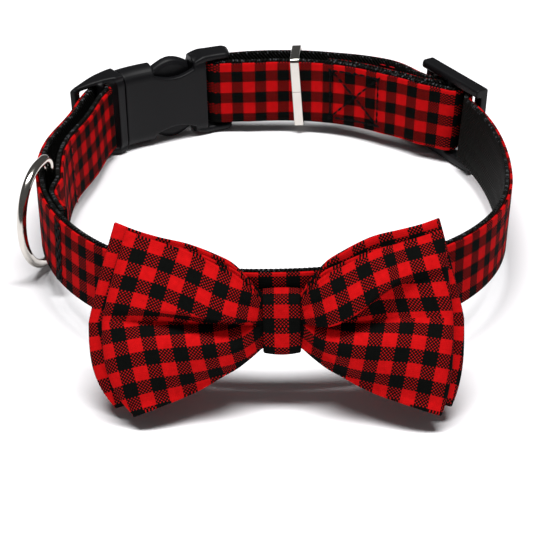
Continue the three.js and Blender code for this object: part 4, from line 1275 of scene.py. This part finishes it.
class COLLAR_OT_ring(bpy.types.Operator):
    """Bend the leash ring from round wire"""

    bl_idname = "collar.ring"
    bl_label = "Leash ring"

    def execute(self, context):
        hardware = context.scene.collar_hardware
        half, depth = hardware.ring_half / MM, hardware.ring_depth / MM
        straight = half - RING_CORNER

        def corner(turns, up):
            return [(RING_CORNER * (1 + math.cos(a)), up + RING_CORNER * math.sin(a)) for a in turns]

        # Down the bar, round the lower corner, round the bow and back round the upper corner
        outline = [(0, up) for up in np.linspace(straight, -straight, 12)]
        outline += corner(np.radians(np.linspace(180, 270, 10)[1:]), -straight)
        outline += [
            (RING_SHOULDER + (depth - RING_SHOULDER) * math.cos(a), half * math.sin(a))
            for a in np.radians(np.linspace(-90, 90, 64))
        ]
        outline += corner(np.radians(np.linspace(90, 180, 10)[:-1]), straight)
        outline = np.array(outline)
        _, along, out, up = (v[0] for v in LINE.axes(np.array([RING_AT])))
        away = out * math.cos(RING_SWING) + along * math.sin(RING_SWING)
        middle = LINE.place(RING_AT, RING_BAR_OUT, 0)
        points = middle + outline[:, :1] * away + outline[:, 1:] * up
        piece = grown("leash_ring", [(points, True)], wire_tree(), {
            "Diameter": hardware.wire, "Material": nickel_plate(context)})
        faces_out(piece.data)
        finish_piece(piece, None, "ring", "nickel", "d_ring")
        return {"FINISHED"}


def wing_value(column, share):
    """A smooth value of the wing's table at each share of its length."""
    rows = np.array([r.along for r in WING_ROWS])
    values = np.array([getattr(r, column) for r in WING_ROWS])
    slope = np.gradient(values, rows)
    i = np.clip(np.searchsorted(rows, share, side="right") - 1, 0, len(rows) - 2)
    span = rows[i + 1] - rows[i]
    f = np.clip((share - rows[i]) / span, 0, 1)
    return ((2 * f ** 3 - 3 * f ** 2 + 1) * values[i] + (f ** 3 - 2 * f ** 2 + f) * span * slope[i]
            + (-2 * f ** 3 + 3 * f ** 2) * values[i + 1] + (f ** 3 - f ** 2) * span * slope[i + 1])


def bow_place(along, up, out):
    """Points of the bow in the straight axes of the strap's front; its wings lean back to their ends."""
    share = np.abs(along) / BOW_SPAN
    lean = np.radians(WING_LEAN) * smoothstep(share, *WING_LEAN_SHARES)
    depth = out - BOW_PIVOT
    rise = up * np.cos(lean) + depth * np.sin(lean) - BOW_DROP
    reach = BOW_PIVOT + WING_FORWARD * share ** 2 + depth * np.cos(lean) - up * np.sin(lean)
    centre, along_axis, out_axis, up_axis = (a[0] for a in LINE.axes(np.array([BOW_AT])))
    yaw = math.radians(BOW_YAW)
    side = along_axis * math.cos(yaw) + np.cross(up_axis, along_axis) * math.sin(yaw)
    front = out_axis * math.cos(yaw) + np.cross(up_axis, out_axis) * math.sin(yaw)
    return centre + along[..., None] * side + reach[..., None] * front + rise[..., None] * up_axis


def wing_row(along, up):
    """The share along the wing and the row up it, from -1 to 1, at a place on the bow."""
    away = np.minimum(1, np.abs(along) / BOW_SPAN)
    half = np.where(up > 0, wing_value("top", away), wing_value("bottom", away))
    return away, np.clip(up / half, -1, 1)


def fullness(along, up):
    """How full the wing is at a place: a lobe above and below the pleat, and 0 in the pleat."""
    away, row = wing_row(along, up)
    pleat = wing_value("pleat", away)
    lobes = np.sin(math.pi * np.abs(row)) ** LOBE_SHARPNESS
    return wing_value("bulge", away) * (pleat * lobes + (1 - pleat) * (1 - row ** 2))


def fold_edge(along):
    """How far up the wing the edge of the front wall's main fold lies."""
    away = np.minimum(1, np.abs(along) / BOW_SPAN)
    near = np.where(along < 0, FOLD_LEFT.near, FOLD_RIGHT.near)
    far = np.where(along < 0, FOLD_LEFT.far, FOLD_RIGHT.far)
    return near + (far - near) * smoothstep(away, *FOLD_SHARES)


def front_fullness(along, up):
    """How full the front wall is: a lobe that hangs over its fold above, a rounder lobe below."""
    away, row = wing_row(along, up)
    pleat = wing_value("pleat", away)
    edge = fold_edge(along)
    panel = PANEL_RISE * np.clip(row / edge, 0, 1)
    step = smoothstep(row, edge - FOLD_STEP, edge)
    past = np.clip((row - edge) / (1 - edge), 0, 1)
    upper = (panel + (1 - panel) * step) * (1 - UPPER_FALL[0] * past ** UPPER_FALL[1])
    low = np.clip(-row / LOWER_CREST, 0, 1)
    under = np.clip((-row - LOWER_CREST) / (1 - LOWER_CREST), 0, 1)
    lower = np.sin(math.pi / 2 * low) ** LOWER_ROUND * (1 - LOWER_FALL[0] * under ** LOWER_FALL[1])
    lobes = np.where(row > 0, upper, lower)
    return wing_value("bulge", away) * (pleat * lobes + (1 - pleat) * (1 - row ** 2))


def side_value(bow, name, share):
    """A size of the loop's left or right wing."""
    return np.where(share < 0, getattr(bow.left, name), getattr(bow.right, name))


def wing_plan(bow, share, row, inset=0.0):
    """Where a loop's cloth is on the bow, along and up, for a share along the loop and a row up it."""
    away = np.abs(share)
    width = side_value(bow, "reach", share) - inset * smoothstep(away, FOLD_INSET_FROM, 1)
    cut_top = side_value(bow, "top_cut", share) * np.abs(row) ** END_TOP_POWER
    cut_bottom = side_value(bow, "bottom_cut", share) * np.abs(row) ** END_BOTTOM_POWER
    along = share * width * (1 - np.where(row > 0, cut_top, cut_bottom) * away)
    own = np.where(row > 0, side_value(bow, "above", share), side_value(bow, "below", share))
    height = 1 + (own - 1) * np.minimum(1, away / SMALLER_BY)
    up = row * height * np.where(row > 0, wing_value("top", away), wing_value("bottom", away))
    crown = np.exp(-((away - CROWN_AT) / CROWN_SPREAD) ** 2) - np.exp(-(CROWN_AT / CROWN_SPREAD) ** 2)
    up = up + side_value(bow, "crown", share) * np.maximum(0, row) * np.maximum(0, crown)
    return along, up


def wing_point(bow, share, row, wall, inset, rim, overhang, ripple):
    """A point of a bow loop: share along it, row up it, front or back wall, depth into the wall."""
    away = np.abs(share)
    along, up = wing_plan(bow, share, row, inset)
    fold = np.sqrt(np.maximum(0, 1 - (np.maximum(0, away - 1 + FOLD_ROUND) / FOLD_ROUND) ** 2))
    full = fullness(along, up)
    front_full = front_fullness(along, up) if bow is BOW_FRONT else full
    ended = smoothstep(away, ENDS_FROM, 1)
    front = bow.front.knot + bow.front.swell * front_full + bow.front.end * ended
    back = bow.back.knot + bow.back.swell * full + bow.back.end * ended
    out = (front + back) / 2 + wall * ((front - back) / 2 - inset) * fold
    gather = np.exp(-((away - GATHER.share) / GATHER.spread) ** 2)
    out = out + ripple * gather * np.cos(2 * math.pi * GATHER.waves * row + GATHER.phase)
    if bow is BOW_FRONT:
        near_edge = np.exp(-((row - fold_edge(along)) / FOLD_HANG) ** 2)
        hang = overhang * wing_value("pleat", away) * wing_value("bulge", away) * near_edge
        up = up - hang * np.where(wall > 0, 1, 0)
        tucked = np.exp(-((share - TUCK.share) / TUCK.share_spread) ** 2
                        - ((row - TUCK.row) / TUCK.row_spread) ** 2)
        out = out - TUCK.depth * tucked * np.where(wall > 0, 1, 0)
    return bow_place(along, up + np.sign(row) * rim, out)


def bow_cloth(bow, shares, rows, outer):
    """Places on the cloth of a loop's outer side: inwards from a wing's end, and down from its top.

    Each is given for a wing's upper half and its lower half: each half's cloth is flat and turned
    about the knot, and the pleat between the halves takes up the rest of it.
    """
    right_end = int(np.argmax(shares))
    steps = np.linalg.norm(np.diff(outer, axis=0), axis=2)
    run = np.concatenate([np.zeros((1, len(rows))), np.cumsum(steps, axis=0)])
    whole = run[-1] + np.linalg.norm(outer[0] - outer[-1], axis=1)
    from_left = np.where((np.arange(len(shares)) > right_end)[:, None], run - whole, run)
    from_right = run[right_end] - run
    middle = int(np.argmin(np.abs(rows)))
    share, row = np.meshgrid(shares, rows, indexing="ij")
    plan_along, plan_up = wing_plan(bow, share, row)
    short = np.abs(plan_along[:, middle:middle + 1]) - np.abs(plan_along)
    wall = np.where(np.arange(len(shares)) > right_end, -1, 1)[:, None]
    columns = []
    for crest, lean in zip(CREST_ROWS, np.radians(COLUMNS_LEAN)):
        at = int(np.argmin(np.abs(rows - crest)))
        crest_run = np.where(shares < 0, from_left[:, at], from_right[:, at])[:, None]
        columns.append(crest_run + wall * (short * math.cos(lean) - np.abs(plan_up) * math.sin(lean)))

    rises = np.linalg.norm(np.diff(outer, axis=1), axis=2)
    climb = np.concatenate([np.zeros((len(shares), 1)), np.cumsum(rises, axis=1)], axis=1)
    ends = np.where(shares < 0, 0, right_end)
    hidden = []
    for row, tilt in ((1.0, ROWS_RISE), (-1.0, ROWS_FALL)):
        along, up = wing_plan(bow, shares, np.full(len(shares), row))
        inward = np.abs(along[ends]) - np.abs(along)
        line = np.abs(up[ends]) - inward * math.tan(math.radians(tilt))
        hidden.append(np.maximum(0, line - np.abs(up)) * math.cos(math.radians(tilt)))
    first = np.where(shares < 0, *FIRST_ROW)
    upper = (first + hidden[0])[:, None] + climb[:, -1:] - climb
    last = upper[ends, middle] + climb[ends, middle]
    lower = (last - hidden[1])[:, None] - climb
    lost = (lower - upper)[:, middle] / 2 * smoothstep(np.abs(shares), *SQUEEZE_SHARES)
    squeeze = lost[:, None] * np.exp(-np.abs(climb - climb[:, middle:middle + 1]) / SQUEEZE)
    return *columns, upper + squeeze, lower - squeeze


def bow_piece(name, points, faces, across, along):
    """A closed piece of the bow, faces outwards, with the places on its cloth at face corners."""
    cloth = bpy.context.scene.collar_cloth
    uv = np.stack([across, along], axis=-1) * cloth.square / cloth.bow_square
    faces = [list(f) for f in faces]
    turned = outward(points, faces)
    return mesh_piece(name, points, turned, list(uv if turned is faces else uv[:, ::-1]))


def bow_loop(name, bow, settings):
    """A bow loop: a flattened band of cloth, open at its upper and lower edges, with folded rims."""
    wall = settings.wall / MM
    # Shares lie closer together at a wing's end, and rows beside its pleat
    spread_out = np.concatenate([np.linspace(0, 0.9, 46), 1 - np.linspace(0.09, 0, 11) ** 1.6 * 4.7])
    half = np.unique(np.clip(spread_out, 0, 1))
    going = np.concatenate([-half[:0:-1], half])
    shares = np.concatenate([going, going[-2:0:-1]])
    walls = np.concatenate([np.ones(len(going)), -np.ones(len(going) - 2)])
    rows = np.concatenate([
        np.linspace(-1, -0.2, 20), np.linspace(-0.18, 0.3, 27), np.linspace(0.32, 0.7, 16),
        np.linspace(0.74, 1, 8)])
    rows[np.argmin(np.abs(rows))] = 0.0
    arc = np.linspace(0, math.pi, 7)[1:-1]
    ring_row = np.concatenate([rows, np.ones(len(arc)), rows[::-1], -np.ones(len(arc))])
    ring_inset = np.concatenate([
        np.zeros(len(rows)), wall / 2 * (1 - np.cos(arc)),
        np.full(len(rows), wall), wall / 2 * (1 + np.cos(arc))])
    ring_rim = np.concatenate([
        np.zeros(len(rows)), wall / 2 * np.sin(arc), np.zeros(len(rows)), wall / 2 * np.sin(arc)])
    share, row = np.meshgrid(shares, ring_row, indexing="ij")
    side = np.repeat(walls[:, None], len(ring_row), axis=1)
    points = wing_point(
        bow, share, row, side, ring_inset[None, :], ring_rim[None, :],
        settings.overhang / MM, settings.ripple / MM).reshape(-1, 3)
    around = len(ring_row)
    faces = tube_faces(len(shares), around, True)

    def at_corners(values):
        """Values of the outer side's rows, carried round the rims to the inner side, at face corners."""
        rim = np.ones((1, len(arc)))
        whole = np.concatenate([values, values[:, -1:] * rim, values[:, ::-1], values[:, :1] * rim], axis=1)
        return whole.reshape(-1)[faces]

    outer = points.reshape(len(shares), around, 3)[:, :len(rows)]
    upper_in, lower_in, upper, lower = map(at_corners, bow_cloth(bow, shares, rows, outer))
    on_left = share.reshape(-1)[faces].mean(axis=1)[:, None] < 0
    on_top = ring_row[faces % around].mean(axis=1)[:, None] > 0
    square = bpy.context.scene.collar_cloth.bow_square / MM
    across = np.where(on_top, upper_in, lower_in) - np.where(on_left, *FIRST_COLUMN) + square
    return bow_piece(name, points, faces, across, np.where(on_top, upper, lower))


class COLLAR_OT_bow(bpy.types.Operator):
    """Fold the bow's two loops and bind them with the knot band"""

    bl_idname = "collar.bow"
    bl_label = "Bow"

    def execute(self, context):
        settings = context.scene.collar_bow
        gingham = cotton_gingham(context)
        loops = (("bow_back_loop", BOW_BACK, "bow_back"), ("bow_front_loop", BOW_FRONT, "bow_front"))
        for name, bow, node in loops:
            piece = bow_loop(name, bow, settings)
            finish_piece(piece, gingham, "collar", "gingham", node)
            flat, area = self.cut(bow)
        self.knot(context, settings, gingham)
        return {"FINISHED"}

    @staticmethod
    def cut(bow):
        """Width, length and area of a loop's cloth before it is gathered, its corners cut off."""
        end = WING_ROWS[-1]
        width, area = 0, 0
        for wing in (bow.left, bow.right):
            top, bottom = end.top * wing.above, end.bottom * wing.below
            width += (top + bottom) / 2
            top_cut = top * wing.top_cut / (END_TOP_POWER + 1)
            bottom_cut = bottom * wing.bottom_cut / (END_BOTTOM_POWER + 1)
            area += 2 * wing.reach * (top + bottom - (top_cut + bottom_cut))
        return (width * MM, 2 * (bow.left.reach + bow.right.reach) * MM), area * MM ** 2

    def knot(self, context, settings, gingham):
        """The knot band: a sleeve round both loops, fuller at its middle, with turned-in side edges."""
        wall, half = settings.knot_wall / MM, settings.knot_half / MM
        width, swell = settings.knot_width / MM, settings.knot_swell / MM
        outline = self.divided(rounded(*KNOT_OUT, -half, half, KNOT_BEND, 8))
        runs = unit(np.roll(outline, -1, axis=0) - np.roll(outline, 1, axis=0))
        sides = np.stack([runs[:, 1], -runs[:, 0]], axis=-1)
        ring = self.divided(rounded(-wall, 0, -width / 2, width / 2, wall * KNOT_EDGE, 5))
        spots = outline[:, None, :] + sides[:, None, :] * ring[None, :, :1]
        along = np.repeat(ring[None, :, 1], len(outline), axis=0)
        puff = swell * (1 - (2 * along / width) ** 2)
        front = smoothstep(outline[:, 0], KNOT_MIDDLE, KNOT_MIDDLE + 2)[:, None]
        out = spots[..., 0] + puff * front
        up = spots[..., 1] + np.sign(outline[:, 1:]) * puff * KNOT_RISE
        points = bow_place(along, up, out).reshape(-1, 3)
        run = lengths_along(outline)
        faces = tube_faces(len(outline), len(ring), True)
        # Rows count from the middle of the band's front
        # Where the outline closes, a face's rows stay together
        front_middle = run[np.argmin(np.abs(outline[:, 1]) + half * (outline[:, 0] < KNOT_MIDDLE))]
        rise = np.repeat((run - front_middle)[:, None], len(ring), axis=1).reshape(-1)[faces]
        rise = np.where(rise - rise.min(axis=1, keepdims=True) > half, rise - run[-1], rise)
        across = along.reshape(-1)[faces] + context.scene.collar_cloth.bow_square / MM / 2
        piece = bow_piece("bow_knot_band", points, faces, across, rise - KNOT_FIRST_ROW)
        finish_piece(piece, gingham, "collar", "gingham", "bow_knot")

    @staticmethod
    def divided(outline):
        """A closed outline with its sides divided into short steps."""
        points = []
        for a, b in zip(np.array(outline), np.roll(outline, -1, axis=0)):
            count = max(1, math.ceil(np.linalg.norm(b - a) / KNOT_STEP))
            points.extend(a + (b - a) * k / count for k in range(count))
        return np.array(points)


class COLLAR_OT_seams(bpy.types.Operator):
    """Sew the cover's seams, the fold's bar tack and the tail's box"""

    bl_idname = "collar.seams"
    bl_label = "Seams"

    def execute(self, context):
        strap = context.scene.collar_strap
        stitch = context.scene.collar_stitch
        tree = stitch_tree()
        red = spun_thread("red sewing thread", stitch.red)
        black = spun_thread("black sewing thread", stitch.black)
        face = (strap.webbing_thick / 2 + strap.cover_gap + strap.cover_thick) / MM
        back = -strap.webbing_thick / MM / 2
        proud = stitch.thread / MM * THREAD_PROUD

        # The ends of two red rows on the outer layer's bare face, beside the slider
        spots = SLIDER_AT + np.linspace(*RED_ROWS, 12)
        row_up = STRAP_HALF - stitch.seam_inset / MM
        rows = [(LINE.place(spots, RED_ROWS_OUT + back - proud, side * row_up), False) for side in (1, -1)]
        seam_at = LINE.length_at(INNER_SEAM_TURN)
        ups = np.linspace(-INNER_SEAM_HALF, INNER_SEAM_HALF, 30)
        inner_face = INNER_LAYER - face - proud - INNER_SEAM_IN
        rows.append((LINE.place(seam_at, inner_face, ups), False))
        self.sew("red_seams", rows, tree, stitch, red)

        # Box and cross on the tail, and the dense bar tack beside the fold's end
        start, end = (LINE.length_at(t) for t in BOX_STITCH_TURNS)
        box_face = REAR_LAYER - face - proud
        low, high = BOX_UP
        corners = [(start, low), (end, low), (end, high), (start, high), (start, low), (end, high)]
        lines = [self.on_face(corners, box_face), self.on_face([(start, high), (end, low)], box_face)]
        self.sew("black_box_stitch", lines, tree, stitch, black, BOX_HEAVIER)
        tack_at = LINE.length_at(TACK_TURN)
        zigzag = [
            (tack_at + (TACK_REACH if k % 2 else -TACK_REACH), TACK_HALF * (2 * k / TACK_STEPS - 1))
            for k in range(TACK_STEPS + 1)
        ]
        self.sew("black_bar_tack", [self.on_face(zigzag, face + proud)], tree, stitch, black, TACK_HEAVIER)
        return {"FINISHED"}

    @staticmethod
    def on_face(corners, out):
        """A line of points along straight runs between corners (along, up) on one face of the strap."""
        corners = np.asarray(corners, float)
        points = []
        for a, b in zip(corners[:-1], corners[1:]):
            count = max(2, math.ceil(np.linalg.norm(b - a)))
            points.extend(a + (b - a) * k / count for k in range(count))
        points.append(corners[-1])
        points = np.array(points)
        return LINE.place(points[:, 0], out, points[:, 1]), False

    @staticmethod
    def sew(name, lines, tree, stitch, thread, heavier=1.0):
        """Stitches along lines. Heavier thread is thicker, with less space between its stitches."""
        piece = grown(name, lines, tree, {
            "Stitch": stitch.run, "Gap": stitch.gap / heavier ** 2, "Thread": stitch.thread * heavier,
            "Material": thread})
        finish_piece(piece, None, "collar", "gingham")


class COLLAR_OT_stage(bpy.types.Operator):
    """Set the pale floor, the soft light and the camera"""

    bl_idname = "collar.stage"
    bl_label = "Stage"

    def execute(self, context):
        stage = context.scene.collar_stage
        mesh = bpy.data.meshes.new("floor")
        reach = 4.0
        corners = [(-reach, -reach, 0), (reach, -reach, 0), (reach, reach, 0), (-reach, reach, 0)]
        mesh.from_pydata(corners, [], [(0, 1, 2, 3)])
        floor = new_object("floor", mesh)
        paper, tree, shader = new_material("matt white paper")
        shader.inputs["Base Color"].default_value = opaque(stage.floor)
        shader.inputs["Roughness"].default_value = 0.9
        shader.inputs["Specular IOR Level"].default_value = 0.1
        mesh.materials.append(paper)

        world = bpy.data.worlds.new("studio")
        context.scene.world = world
        world.use_nodes = True
        back = world.node_tree.nodes["Background"]
        back.inputs["Color"].default_value = opaque(linear("FFFFFF"))
        back.inputs["Strength"].default_value = 0.09
        self.softbox("overhead", (0.0, -0.06, 1.0), (0, -0.06, 0), (0.9, 0.24), 17)
        # The low front light fills in the cloth, and is kept off the floor and the dark parts
        fill = self.softbox("front fill", (0.0, -1.5, 0.3), (0, -0.05, 0.03), (1.2, 0.5), 13)
        cloth = bpy.data.collections.new("cloth")
        for name in CLOTH_PIECES:
            cloth.objects.link(bpy.data.objects[name])
        fill.light_linking.receiver_collection = cloth

        eye = bpy.data.cameras.new("camera")
        eye.sensor_width = 36
        eye.lens = stage.lens
        eye.clip_start = 0.05
        eye.clip_end = 20
        camera = bpy.data.objects.new("camera", eye)
        context.scene.collection.objects.link(camera)
        back_way = Vector((0, -math.cos(stage.elevation), math.sin(stage.elevation)))
        camera.location = Vector(stage.target) + back_way * stage.distance
        camera.rotation_euler = (-back_way).to_track_quat("-Z", "Y").to_euler()
        context.scene.camera = camera
        context.scene.view_settings.view_transform = "Standard"
        return {"FINISHED"}

    @staticmethod
    def softbox(name, place, target, size, power):
        """A soft rectangular light that faces its target."""
        lamp = bpy.data.lights.new(name, "AREA")
        lamp.shape = "RECTANGLE"
        lamp.size, lamp.size_y = size
        lamp.energy = power
        made = bpy.data.objects.new(name, lamp)
        bpy.context.scene.collection.objects.link(made)
        made.location = place
        way = Vector(target) - Vector(place)
        made.rotation_euler = way.to_track_quat("-Z", "Y").to_euler()
        return made


OPERATORS = (
    COLLAR_OT_webbing,
    COLLAR_OT_cover,
    COLLAR_OT_buckle,
    COLLAR_OT_slider,
    COLLAR_OT_keeper,
    COLLAR_OT_ring,
    COLLAR_OT_bow,
    COLLAR_OT_seams,
    COLLAR_OT_stage,
)


class COLLAR_PT_panel(bpy.types.Panel):
    """Collar steps and settings"""

    bl_idname = "COLLAR_PT_panel"
    bl_label = "Bow tie dog collar"
    bl_space_type = "VIEW_3D"
    bl_region_type = "UI"
    bl_category = "Collar"

    def draw(self, context):
        for step in OPERATORS:
            self.layout.operator(step.bl_idname)
        for name, group in SETTINGS.items():
            box = self.layout.box()
            box.label(text=group.__doc__)
            for prop in group.__annotations__:
                box.prop(getattr(context.scene, name), prop)


CLASSES = (*SETTINGS.values(), *OPERATORS, COLLAR_PT_panel)


def register():
    for cls in CLASSES:
        bpy.utils.register_class(cls)
    for name, group in SETTINGS.items():
        setattr(bpy.types.Scene, name, bpy.props.PointerProperty(type=group))


def unregister():
    for name in SETTINGS:
        delattr(bpy.types.Scene, name)
    for cls in reversed(CLASSES):
        bpy.utils.unregister_class(cls)


def main():
    """Registers the add-on and makes every piece in order."""
    register()
    bpy.ops.collar.webbing()
    bpy.ops.collar.cover()
    bpy.ops.collar.buckle()
    bpy.ops.collar.slider()
    bpy.ops.collar.keeper()
    bpy.ops.collar.ring()
    bpy.ops.collar.bow()
    bpy.ops.collar.seams()
    bpy.ops.collar.stage()


if __name__ == "__main__":
    main()
